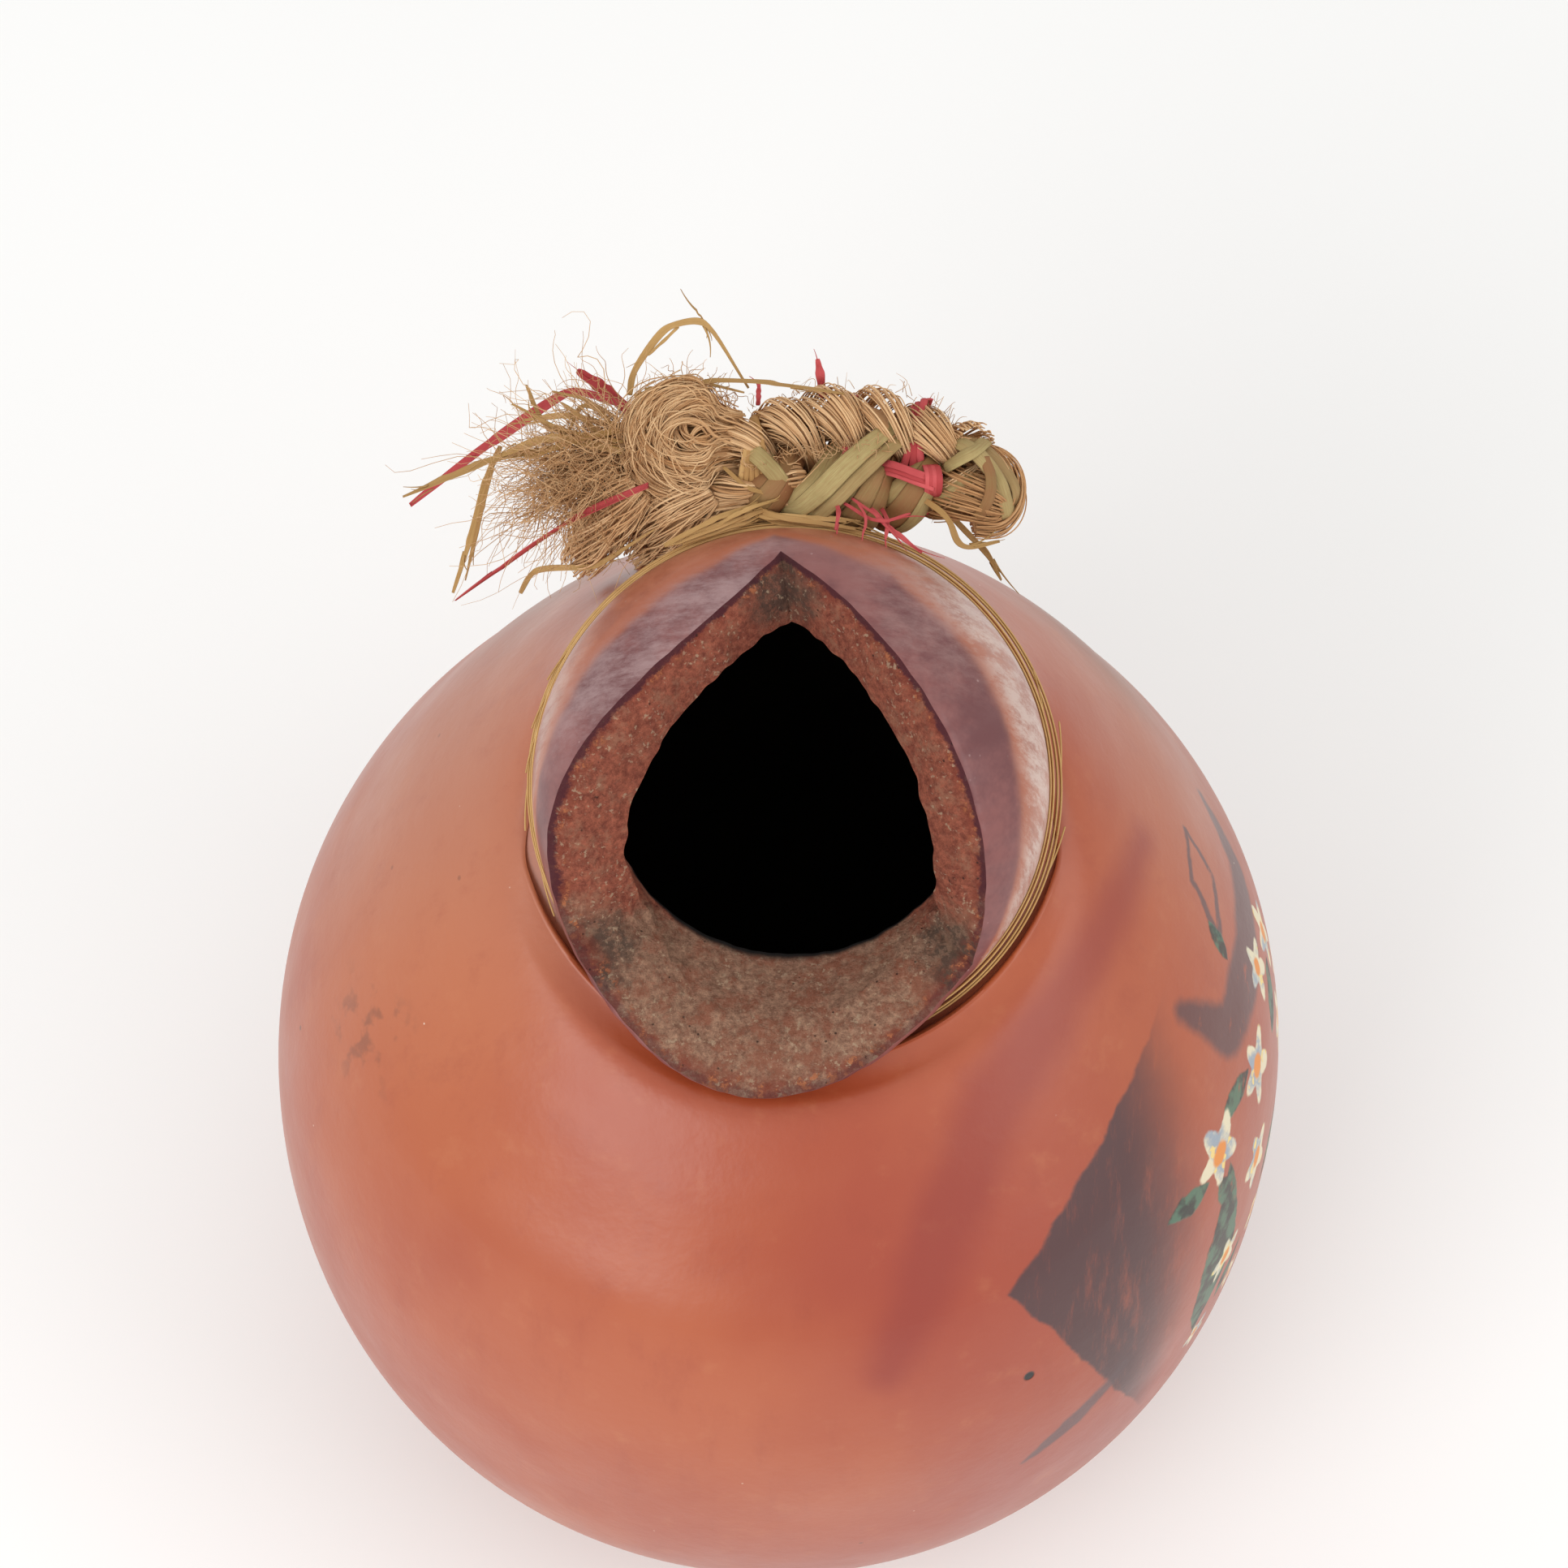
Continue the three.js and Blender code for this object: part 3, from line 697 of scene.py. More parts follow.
def paint_picture(s, base, aim):
    """A plain brush-drawn motif: a soft sweep, a dark wedge, a branch, leaves and blossoms."""
    flat, shown = picture_map(s, aim)
    streak = s.noise(60, 6, 0.75, stretch=(6, 1, 1))
    worn = s.between(streak, 0.28, 0.42)

    sweep = stroke(s, flat, [(9, 72, 4), (-13, 51, 6), (-38, 27, 8), (-51, 0, 8), (-64, -34, 5)], 5)
    colour = s.wash(sweep, 0.66, base, (0.255, 0.034, 0.022))

    left_edge = half_plane(s, flat, (-36, -15), (58, -43), 1.2)
    low_edge = half_plane(s, flat, (-36, -15), (75, 82), 1.2)
    feather = half_plane(s, flat, (30, -40), (-133, -39), 26)
    wedge = s.times(s.times(left_edge, low_edge), feather)
    brushed = s.times(wedge, s.between(streak, 0.18, 0.5))
    colour = s.wash(wedge, 0.55, colour, (0.16, 0.05, 0.035))
    colour = s.wash(brushed, 0.85, colour, (0.052, 0.028, 0.032))

    tail = stroke(s, flat, [(-12, -78, 0.6), (-4, -62, 4.2), (4, -44, 1.6)], 1.2)
    branch = stroke(s, flat, [(62, 88, 2), (61, 62, 5.5), (45, 40, 8), (26, 26, 6), (10, 33, 2.4)], 1.6)
    loop = stroke(s, flat, [(29, 47, 1.4), (24, 60, 1.0), (31, 74, 0.8), (37, 60, 1.0), (30, 46, 1.2)], 0.6)
    dark = s.most(tail, branch, loop)
    colour = s.wash(s.times(dark, worn), 0.85, colour, (0.085, 0.04, 0.042))

    leaves = s.most(*(leaf(s, flat, *shape) for shape in LEAVES))
    green = s.blend(s.spots(0.4, 0.6, 220, 3), (0.022, 0.035, 0.028), (0.07, 0.16, 0.10))
    colour = s.wash(s.times(leaves, worn), 0.92, colour, green)

    blossoms = [blossom(s, flat, *shape) for shape in BLOSSOMS]
    petals = s.most(*(shape for shape, _ in blossoms))
    hearts = s.most(*(heart for _, heart in blossoms))
    shade = s.spots(0.45, 0.62, 150, 4)
    cream = s.blend(shade, (0.74, 0.66, 0.46), (0.30, 0.36, 0.42))
    cream = s.blend(s.spots(0.56, 0.64, 300, 2), cream, (0.82, 0.62, 0.22))
    colour = s.wash(petals, 0.95, colour, cream)
    colour = s.blend(hearts, colour, (0.72, 0.24, 0.03))
    paint = s.most(petals, leaves, s.times(brushed, 0.5))
    return s.blend(shown, base, colour), s.times(paint, shown)


def paint_collar(s, zone):
    """The neck's paint: scuffed orange-brown by the band, an orange line, and plum to the lip, with painted
    lilac sheen on its upper left and upper right.
    """
    waver = s.wobble(0.26, 40, 4)
    height = s.plus(zone, waver)
    offset = s.vector("SUBTRACT", s.place, tuple(WAIST_CENTRE / 1000))
    right = s.dot(offset, tuple(RIGHT))
    back = s.dot(offset, tuple(BACK))

    plum = s.blend(s.spots(0.35, 0.65, 55, 5, 0.7), (0.130, 0.034, 0.036), (0.225, 0.072, 0.066))
    umber = s.blend(s.spots(0.35, 0.65, 80, 5, 0.7), (0.29, 0.078, 0.040), (0.40, 0.135, 0.075))
    colour = s.blend(s.between(height, 0.56, 0.72), umber, plum)
    line = s.times(s.between(height, 0.50, 0.56), s.between(height, 0.68, 0.60))
    colour = s.wash(line, 0.8, colour, (0.36, 0.095, 0.04))

    streaks = s.noise(120, 7, 0.8, stretch=(1, 1.7, 0.5))
    dry = s.between(streaks, 0.40, 0.60)
    right_side = s.between(right, 0.014, 0.034)
    left_side = s.times(s.between(right, -0.034, -0.046), 0.5)
    by_band = s.between(height, 0.70, 0.46)
    smear = s.times(s.most(right_side, left_side), by_band)
    smear = s.times(smear, s.plus(s.times(dry, 0.75), 0.2))
    colour = s.wash(smear, 0.9, colour, (0.60, 0.46, 0.40))

    # Painted lilac sheen on the upper left of the neck: pale colour standing in for the gloss on the plum
    # paint.
    upper_left = s.times(s.between(right, 0.010, -0.014), s.between(back, -0.004, 0.020))
    painted_lilac_sheen_left = s.times(upper_left, s.between(height, 0.50, 0.78))
    soft = s.between(s.noise(110, 7, 0.8, stretch=(0.6, 1.6, 1)), 0.34, 0.68)
    colour = s.wash(s.times(painted_lilac_sheen_left, soft), 0.6, colour, (0.42, 0.29, 0.285))
    # A fainter painted lilac sheen on the upper right of the neck.
    upper_right = s.times(s.between(right, 0.004, 0.022), s.between(back, 0.008, 0.030))
    painted_lilac_sheen_right = s.times(s.times(upper_right, soft), 0.5)
    colour = s.blend(painted_lilac_sheen_right, colour, (0.36, 0.22, 0.20))
    pits = s.times(s.between(s.cells(380), 0.12, 0.05), s.spots(0.5, 0.6, 60, 2))
    return s.wash(pits, 0.5, colour, (0.40, 0.26, 0.25))


def lacquer():
    """Burnt-orange lacquer over gourd skin, with darker patches, dirt, scratches and the painted picture, a
    painted pale sheen high on the left and a hole drawn as a dot of painted shade.
    """
    s = Shader("Painted gourd lacquer")
    aim = from_body_centre(s)
    zone = s.attribute("zone")

    cloud = s.spots(0.35, 0.68, 14, 4)
    colour = s.blend(cloud, (0.350, 0.063, 0.022), (0.410, 0.098, 0.038))
    # Painted pale sheen high on the left of the body: light colour standing in for the lacquer's sheen there.
    painted_pale_sheen = near(s, aim, (-0.60, 0.05, 0.80), 0.1, 0.6, 0.25)
    colour = s.wash(painted_pale_sheen, 0.6, colour, (0.47, 0.20, 0.115))
    tan = near(s, aim, (0.66, 0.35, 0.66), 0.1, 0.5, 0.25)
    colour = s.wash(tan, 0.4, colour, (0.38, 0.16, 0.10))
    orange = near(s, aim, (-0.71, -0.28, 0.64), 0.12, 0.5, 0.3)
    colour = s.wash(orange, 0.55, colour, (0.45, 0.118, 0.038))
    crimson = near(s, aim, (0.37, -0.72, 0.58), 0.1, 0.55, 0.3)
    colour = s.wash(crimson, 0.5, colour, (0.29, 0.036, 0.027))
    violet = near(s, aim, (0.45, -0.82, -0.37), 0.2, 0.75, 0.2)
    colour = s.wash(violet, 0.3, colour, (0.26, 0.05, 0.07))
    # Two soft darker brown patches high on the back of the body.
    dark_back_patches = s.most(near(s, aim, (0.51, 0.53, 0.68), 0.05, 0.28, 0.3),
                    near(s, aim, (-0.35, 0.59, 0.73), 0.08, 0.3, 0.3))
    colour = s.wash(dark_back_patches, 0.5, colour, (0.20, 0.10, 0.06))

    grain = s.noise(22, 8, 0.7, stretch=(5, 5, 0.7))
    colour = s.wash(s.between(grain, 0.5, 0.75), 0.28, colour, (0.28, 0.045, 0.02))
    mottles = s.spots(0.55, 0.8, 120, 5, 0.6)
    colour = s.wash(mottles, 0.3, colour, (0.48, 0.165, 0.07))

    colour, paint = paint_picture(s, colour, aim)
    neck = s.between(zone, -0.012, -0.004)
    colour = s.blend(neck, colour, paint_collar(s, zone))

    smudges = near(s, aim, (-0.74, -0.25, 0.62), 0.03, 0.16, 0.22, 60)
    specks = s.between(s.cells(70), 0.05, 0.02)
    dirt = s.most(s.times(s.times(smudges, 0.6), s.spots(0.52, 0.66, 180, 3)),
                  s.times(specks, s.spots(0.5, 0.62, 9, 2)))
    colour = s.wash(dirt, 0.75, colour, (0.10, 0.035, 0.02))
    dust = s.times(s.between(s.cells(130), 0.035, 0.015), s.spots(0.52, 0.6, 16, 2))
    colour = s.wash(dust, 0.7, colour, (0.75, 0.62, 0.5))
    # A small hole in the skin, drawn as a near-black dot of painted shade for its depth, with a shallow dent
    # in the bump.
    hole_shade = near(s, aim, (0.458, -0.815, 0.355), 0.008, 0.013)
    colour = s.blend(hole_shade, colour, (0.01, 0.006, 0.005))

    scratch = s.noise(300, 4, 0.7, stretch=(1, 1, 0.06))
    rough_map = s.plus(s.times(s.noise(35, 5), 0.25), 0.24)
    roughness = s.plus(rough_map, s.times(paint, 0.12))
    relief = s.plus(s.times(s.noise(18, 6, 0.6), 1.0), s.times(scratch, 0.06))
    relief = s.plus(relief, s.times(paint, 0.06))
    relief = s.minus(relief, s.times(hole_shade, 0.8))
    normal = s.bump(relief, 0.5, 0.0016)
    return s.finish(colour, roughness, normal, Specular_IOR_Level=0.45, Coat_Weight=0.12, Coat_Roughness=0.25)


# Points near the mouth's three corners, in millimetres in the waist frame, and how far the
# darkening reaches from each, in metres.
FLESH_CORNERS = [((-2, 38, 18), 0.011), ((-37, -31, 7), 0.010), ((31, -31, 7), 0.010)]


def flesh():
    """The sawn wall: dry pithy flesh, stained red at the sides and bare grey-tan in front, fading to painted
    shade near black down the throat.
    """
    s = Shader("Dry gourd flesh")
    zone = s.attribute("zone")
    offset = s.vector("SUBTRACT", s.place, tuple(WAIST_CENTRE / 1000))
    back = s.dot(offset, tuple(BACK))
    ragged = s.wobble(0.022, 140, 5, 0.7)
    front = s.between(s.plus(back, ragged), -0.020, -0.027)

    pith = s.noise(640, 8, 0.85)
    clumps = s.noise(190, 7, 0.75)
    bare = s.blend(s.between(pith, 0.34, 0.66), (0.30, 0.13, 0.078), (0.74, 0.42, 0.27))
    bare = s.wash(s.between(clumps, 0.46, 0.60), 0.7, bare, (0.46, 0.14, 0.075))
    stained = s.blend(s.between(pith, 0.34, 0.66), (0.26, 0.055, 0.034), (0.70, 0.205, 0.115))
    stained = s.wash(s.between(clumps, 0.50, 0.64), 0.7, stained, (0.58, 0.26, 0.155))
    colour = s.blend(front, stained, bare)

    chips = s.wobble(0.016, 230, 6, 0.8)
    patches = []
    for corner, reach in FLESH_CORNERS:
        place = tuple((from_waist([corner])[0] - WAIST_CENTRE) / 1000)
        away = s.plus(s.distance(offset, place), chips)
        patches.append(s.between(away, reach, 0.4 * reach))
    corners = s.most(*patches)
    # Grey-brown and near-black flecks, darker round the mouth's three corners.
    corner_flecks = s.times(corners, s.spots(0.42, 0.54, 330, 6, 0.8))
    colour = s.wash(corners, 0.5, colour, (0.24, 0.15, 0.10))
    colour = s.wash(corner_flecks, 0.7, colour, (0.085, 0.058, 0.045))

    fringe = s.times(s.between(zone, 1.40, 1.10), s.spots(0.42, 0.54, 260, 5, 0.7))
    colour = s.wash(fringe, 0.7, colour, (0.36, 0.062, 0.034))
    flecks = s.times(s.spots(0.58, 0.66, 900, 3, 0.6), s.spots(0.44, 0.54, 150, 3))
    colour = s.wash(flecks, 0.75, colour, (0.74, 0.52, 0.34))
    crumbs = s.times(s.spots(0.54, 0.62, 520, 4, 0.7), s.spots(0.42, 0.52, 120, 3))
    crumbs = s.times(crumbs, s.between(zone, 1.34, 1.14))
    colour = s.wash(crumbs, 0.85, colour, (0.78, 0.27, 0.11))
    rim = s.plus(zone, s.wobble(0.40, 240, 5, 0.8))
    edge = s.times(s.between(rim, 1.15, 1.07), s.minus(1.0, s.times(front, 0.5)))
    colour = s.wash(edge, 0.9, colour, (0.12, 0.022, 0.036))
    # Near-black pits: painted shade in the small hollows of the flesh, with dents in the bump.
    pits = s.most(s.between(s.cells(360), 0.11, 0.04), s.spots(0.36, 0.31, 260, 6, 0.85))
    colour = s.wash(pits, 0.75, colour, (0.05, 0.025, 0.018))
    # Down the throat the flesh fades to near black: painted shade going into the hollow.
    colour = s.blend(s.between(zone, 2.86, 2.98), colour, (0.010, 0.007, 0.006))
    relief = s.plus(s.times(pith, 0.7), s.times(clumps, 1.4))
    relief = s.minus(relief, s.times(pits, 0.8))
    return s.finish(colour, 0.85, s.bump(relief, 1.0, 0.003), Specular_IOR_Level=0.3)


# The hollow's inside is near black: painted shade for the depth of the hollow.
def gourd_inside_shade():
    s = Shader("Gourd inside painted shade")
    colour = s.blend(s.noise(60, 5), (0.008, 0.006, 0.005), (0.022, 0.016, 0.012))
    return s.finish(colour, 0.95, s.bump(s.noise(150, 5), 0.6, 0.001), Specular_IOR_Level=0.1)


build_gourd([lacquer(), flesh(), gourd_inside_shade()])


# ---- Fibre cord --------------------------------------------------------------------------

# These match the CAD plait.
PLAIT_START = -9.0
PLAIT_END = 33.0
PLAIT_DEPTH = -7.0
PLAIT_PITCH = 27.0
PLAIT_SWAY = 8.5
PLAIT_LIFT = 5.0
LOBE_NECK = 2.9  # a strand's radius at the plait's middle line
LOBE_SWELL = 2.8  # and how much more it has at the height of a lobe
LOWER_DROP = 1.4  # how much further out the lower lobes reach than the upper ones
STRAND_PHASES = {
    "plait_strand_a": 0.0,
    "plait_strand_b": 2 * math.pi / 3,
    "plait_palm_strand": 4 * math.pi / 3,
}


def plait_middle(x):
    return 63.3 - 0.0042 * (x - 10) ** 2


def strand_path(phase, start=-0.04, end=1.05, count=72):
    """One strand between two shares of the plait's length, and its radius at each point."""
    t = np.linspace(start, end, count)
    x = PLAIT_START + (PLAIT_END - PLAIT_START) * t
    turn = (x - PLAIT_START) / PLAIT_PITCH * 2 * math.pi + phase
    gather = np.sin(math.pi * np.clip(t * 1.1, 0, 1))
    y = plait_middle(x) + PLAIT_SWAY * (0.55 + 0.45 * gather) * np.sin(turn)
    y = y - LOWER_DROP * np.clip(-np.sin(turn), 0, 1)
    path = np.stack([x, y, PLAIT_DEPTH - PLAIT_LIFT * np.sin(2 * turn)], 1)
    return path, (LOBE_NECK + LOBE_SWELL * np.sin(turn) ** 2) * (0.78 + 0.22 * gather)


def finish_piece(sweeps, name, material, slot, body, *nodes):
    piece = sweeps.build(name, material, slot)
    if nodes:
        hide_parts(*nodes)
    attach(piece, body)
    return piece


def lay_strip(sweeps, path, radius, lean, width, tint, towards=(0.0, -0.35, 1.0)):
    """A leaf strip along a bundle, lean radians round it from its side that faces towards."""
    tangent = np.gradient(path, axis=0)
    tangent /= np.linalg.norm(tangent, axis=1)[:, None]
    facing = np.array(towards) - (tangent @ np.array(towards))[:, None] * tangent
    facing /= np.linalg.norm(facing, axis=1)[:, None]
    outward = math.cos(lean) * facing + math.sin(lean) * np.cross(tangent, facing)
    middle = np.sin(math.pi * np.linspace(0, 1, len(path)))
    lift = np.asarray(radius) * (0.72 + 0.30 * middle**0.35)
    sweeps.add(path + outward * lift[:, None], width, 0.42, facing=outward, sides=12, tint=tint,
               taper=0.6 + 0.4 * middle**0.5, fold=-0.30)


def plait_strands():
    rng = np.random.default_rng(11)
    for name, phase in STRAND_PHASES.items():
        sweeps = Sweeps()
        path, radius = strand_path(phase)
        add_bundle(sweeps, path, radius, rng, fibres=96, thickness=0.30, twist=0.03, loose=0.09,
                   tints=(0.35, 1.2))
        # The palm strand's CAD node is stood for by its leaf strips, further down.
        nodes = () if name == "plait_palm_strand" else (name,)
        finish_piece(sweeps, name + "_fibres", SISAL, "sisal", "plait", *nodes)


# Where the plait's lower lobes are, which strand makes each, and the tints of the leaf over it.
LOWER_LOBES = [
    (-6.75, "plait_palm_strand", (0.10, 0.25, 0.05)),
    (2.25, "plait_strand_b", (0.95, 0.80, 0.60)),
    (11.25, "plait_strand_a", (0.90, 0.30, 0.10)),
    (20.25, "plait_palm_strand", (0.75, 0.15, 0.85)),
]


def palm_strips():
    """Split palm leaf that covers the plait's lower lobes and runs up between the upper ones."""
    rng = np.random.default_rng(12)
    sweeps = Sweeps()
    for x, strand, tints in LOWER_LOBES:
        start = (x - 0.30 * PLAIT_PITCH - PLAIT_START) / (PLAIT_END - PLAIT_START)
        end = (x + 0.34 * PLAIT_PITCH - PLAIT_START) / (PLAIT_END - PLAIT_START)
        path, radius = strand_path(STRAND_PHASES[strand], max(start, -0.04), end, 44)
        for i, tint in enumerate(tints):
            lean = 0.85 * (i - 1) + rng.uniform(-0.1, 0.1)
            lay_strip(sweeps, path, radius + 0.15 * i, lean, 4.6 + rng.uniform(-0.5, 0.5), tint)
    for lean, tint in ((-0.5, 0.9), (0.5, 0.4)):
        path, radius = strand_path(STRAND_PHASES["plait_strand_b"], 0.78, 1.03, 30)
        lay_strip(sweeps, path, radius, lean, 3.6, tint)
    long_strip = np.array([(-2.5, 53, -3), (1, 52.6, 1), (5, 55.4, 3.4),
                           (10, 60.4, 3.4), (15, 65, 1.6), (20, 69, -1)])
    for i, tint in enumerate((1.0, 0.72)):
        over = spline(long_strip + (2.4 * i, -1.9 * i, 0.3 - 0.6 * i), 40)
        width = 4.2 - 0.8 * i
        taper = 0.55 + 0.45 * np.sin(np.linspace(0.25, 2.9, 40))
        sweeps.add(over, width, 0.42, facing=(-0.15, 0.05, 1), sides=12, tint=tint, taper=taper, fold=-0.22)
    short_strip = spline([(-9, 64.5, -2), (-6.5, 62.6, 1.6), (-3.4, 59.4, 2.4), (-1, 56, 0)], 24)
    sweeps.add(short_strip, 3.4, 0.42, facing=(-0.2, 0.1, 1), sides=12, tint=0.95, fold=-0.22)
    finish_piece(sweeps, "plait_palm_strips", PALM, "palm", "plait", "plait_palm_strand")


def wrap_path(x, lean, radius_y, radius_z, turns, drift, count=60):
    """A turn round the plait at x, that leans and drifts along it."""
    angles = np.linspace(0, 2 * math.pi * turns, count)
    along = x - math.tan(lean) * radius_y * np.cos(angles) + drift * (angles / angles[-1] - 0.5)
    y = plait_middle(x) + radius_y * np.cos(angles)
    z = PLAIT_DEPTH + radius_z * np.sin(angles)
    outward = np.stack([0 * angles, np.cos(angles) / radius_y, np.sin(angles) / radius_z], 1)
    return np.stack([along, y, z], 1), outward


def red_wraps():
    """Dyed strips that go round the plait in the valleys between its lobes."""
    rng = np.random.default_rng(13)
    for name, x, lean in (("red_wrap_inner", 12.0, 0.12), ("red_wrap_outer", 23.5, -0.12)):
        sweeps = Sweeps()
        for turn in range(3):
            spread = turn - 1
            path, outward = wrap_path(x + 1.3 * spread, lean + 0.2 * spread, 11.4 - 0.5 * turn, 5.2,
                                      turns=1.03, drift=1.0)
            sweeps.add(path, 1.5, 0.4, facing=outward, sides=8, tint=rng.uniform(0, 1), fold=-0.1)
        if name == "red_wrap_outer":
            red_knot(sweeps, rng)
        finish_piece(sweeps, name + "_strips", DYED, "dyed_leaf", "plait", name)


def red_knot(sweeps, rng):
    """A flat knot of dyed leaf on the side of the plait that faces out of the mouth."""
    for i in range(3):
        slip = np.array([0, -0.8 * i, 0])
        knots = np.array([(17, 61.6, -1.2), (20, 60.6, 1.6), (23.5, 59.2, 2.8), (27, 58, 2.4)])
        run = spline(knots + slip, 24)
        sweeps.add(run, 1.5, 0.4, facing=(0, 0.2, 1), sides=8, tint=rng.uniform(0, 1), fold=0.15)
    for i in range(4):
        x = 25.6 + 0.7 * i
        turn = spline([(x - 0.4, 61.2, -3), (x, 60.2, 1.4), (x + 0.3, 58, 3.2),
                       (x + 0.2, 56, 1.6), (x - 0.3, 54.8, -2)], 24)
        sweeps.add(turn, 1.3, 0.4, facing=(0.1, 0, 1), sides=8, tint=rng.uniform(0, 1), fold=0.12)


def plait_tip():
    """The plait's end, folded back on itself into a stub and bound with palm leaf."""
    rng = np.random.default_rng(14)
    path = spline([(33.5, 62.4, -7), (37.0, 61.6, -7), (39.8, 59.4, -6.5),
                   (40.8, 55.4, -6), (39.0, 51.6, -5.5), (34.5, 50.6, -5)], 50)
    radius = 4.2 - 0.8 * np.abs(np.linspace(-1, 1, 50)) ** 2
    sweeps = Sweeps()
    add_bundle(sweeps, path, radius, rng, fibres=76, thickness=0.32, twist=0.05, loose=0.2, tints=(-1.2, 0.5))
    middle = spline([(29.0, 56.6, -6.5), (32.5, 55.6, -2.6), (36.5, 54.8, -2.4), (40.4, 54.0, -4.6)], 34)
    stub = np.linspace(5.6, 4.4, 34) * np.sqrt(np.clip(1.06 - np.linspace(0, 1, 34) ** 6, 0.05, 1))
    add_bundle(sweeps, middle, stub, rng, fibres=96, thickness=0.30, twist=0.06, loose=0.25,
               tints=(-1.6, 0.25))
    finish_piece(sweeps, "plait_tip_fibres", SISAL, "sisal", "plait_tip", "plait_tip_fold")
    sweeps = Sweeps()
    bindings = [
        ([(30, 66.4, -6), (32.5, 65.2, -0.8), (36.0, 62.4, 1.4), (39.6, 57.4, 1.0), (41.6, 51.4, -2.6)],
         3.4, 0.85),
        ([(32, 67, -6), (35.6, 65.4, -2.6), (40.0, 61.4, -1.8), (43.0, 56.4, -2.6), (42.6, 51.4, -5.8)],
         3.0, 0.55),
        ([(29, 60.6, -1), (31.6, 62.0, 1.6), (34.4, 63.6, 1.4), (37, 66.0, -2.6)], 3.0, 0.98),
        ([(36.6, 62.4, 1.2), (37.8, 58.4, 2.6), (37.4, 54.4, 2.8), (35.4, 50.8, 0.4)], 2.2, 0.15),
    ]
    for knots, width, tint in bindings:
        run = spline(knots, 36)
        outward = run - (35.0, 56.4, -9.0)
        sweeps.add(run, width, 0.42, facing=outward, sides=12, tint=tint, fold=-0.22)
    finish_piece(sweeps, "plait_tip_palm_strips", PALM, "palm", "plait_tip", "tip_palm_binding")


# The skein is a ball of fibre that is folded back on itself, with its open side to the plait.
SKEIN_CENTRE = np.array([-20.4, 65.4, -6.5])
SKEIN_RADIUS = 11.6
SKEIN_MOUTH = -13.0  # where its fibres gather, next to the knot
SKEIN_LOCKS = 46
LOCK_FIBRES = 12
LOOSE_TURNS = 120


def skein_turn(rng, radius, side, rise):
    """One bight of fibre: in from the plait, round the left of the ball and back."""
    inner = 1 - radius / SKEIN_RADIUS
    x = SKEIN_CENTRE[0] + 4.5 * inner + rng.normal(0, 0.35)
    y = SKEIN_CENTRE[1] + 1.6 * inner + rng.normal(0, 0.35)
    gather = 0.30 * radius
    knots = [(SKEIN_MOUTH + 3, y + gather), (SKEIN_MOUTH - 2, y + 1.9 * gather)]
    for degrees in (78, 112, 146, 180, 214, 248, 282):
        turn = math.radians(degrees)
        knots.append((x + math.cos(turn) * radius * 1.02, y + math.sin(turn) * radius * 0.96))
    knots += [(SKEIN_MOUTH - 2, y - 1.9 * gather), (SKEIN_MOUTH + 3, y - gather)]
    dome = side * rise * math.sqrt(max(0.0, 1 - (radius / (SKEIN_RADIUS + 0.3)) ** 2))
    lift = dome * np.array([0.45, 0.8, 1, 1, 0.95, 0.9, 0.95, 1, 1, 0.8, 0.45])
    path = np.column_stack([np.array(knots), SKEIN_CENTRE[2] + lift])
    tilt = rng.normal(0, 0.30)
    lean = rng.normal(0, 0.24)
    off = path - SKEIN_CENTRE
    path[:, 1] += -tilt * off[:, 2] + lean * off[:, 0] * 0.5
    path[:, 2] += tilt * off[:, 1] * 0.6 + rng.normal(0, 0.25, len(path))
    return spline(path, 30)


def sisal_hank():
    """A skein of sisal, folded round on itself, with stray turns lying over it."""
    rng = np.random.default_rng(15)
    sweeps = Sweeps()
    # The thick core turns take the darkest sisal tone: painted shade that shows in the gaps between the
    # locks.
    for radius, rise in ((2.2, 2.5), (5.0, 2.0), (7.8, 0.5)):
        for side in (1, -1):
            sweeps.add(skein_turn(rng, radius, side, rise), 5.0, 6.4, sides=10, tint=-0.9)
    for _ in range(SKEIN_LOCKS):
        radius = SKEIN_RADIUS * math.sqrt(rng.uniform(0.03, 1))
        side = 1 if rng.uniform() < 0.8 else -1
        lock = skein_turn(rng, radius, side, rng.uniform(6.4, 9.8))
        shade = rng.uniform(-0.2, 1.0)
        for _ in range(LOCK_FIBRES):
            spread = 1 + rng.normal(0, 0.035)
            fibre = SKEIN_CENTRE + (lock - SKEIN_CENTRE) * spread + rng.normal(0, 0.28, 3)
            sweeps.add(fibre, rng.uniform(0.24, 0.44), 0.30, sides=4, tint=shade + rng.normal(0, 0.25))
    for _ in range(LOOSE_TURNS):
        turn = skein_turn(rng, rng.uniform(5, 12.0), 1, rng.uniform(9, 10.6)) + rng.normal(0, 1.2, 3)
        first = rng.integers(0, 16)
        sweeps.add(turn[first : first + 14], 0.24, 0.24, sides=4, tint=rng.uniform(0.4, 1.3))
    finish_piece(sweeps, "sisal_hank_fibres", SISAL, "sisal", "hank", "sisal_hank")


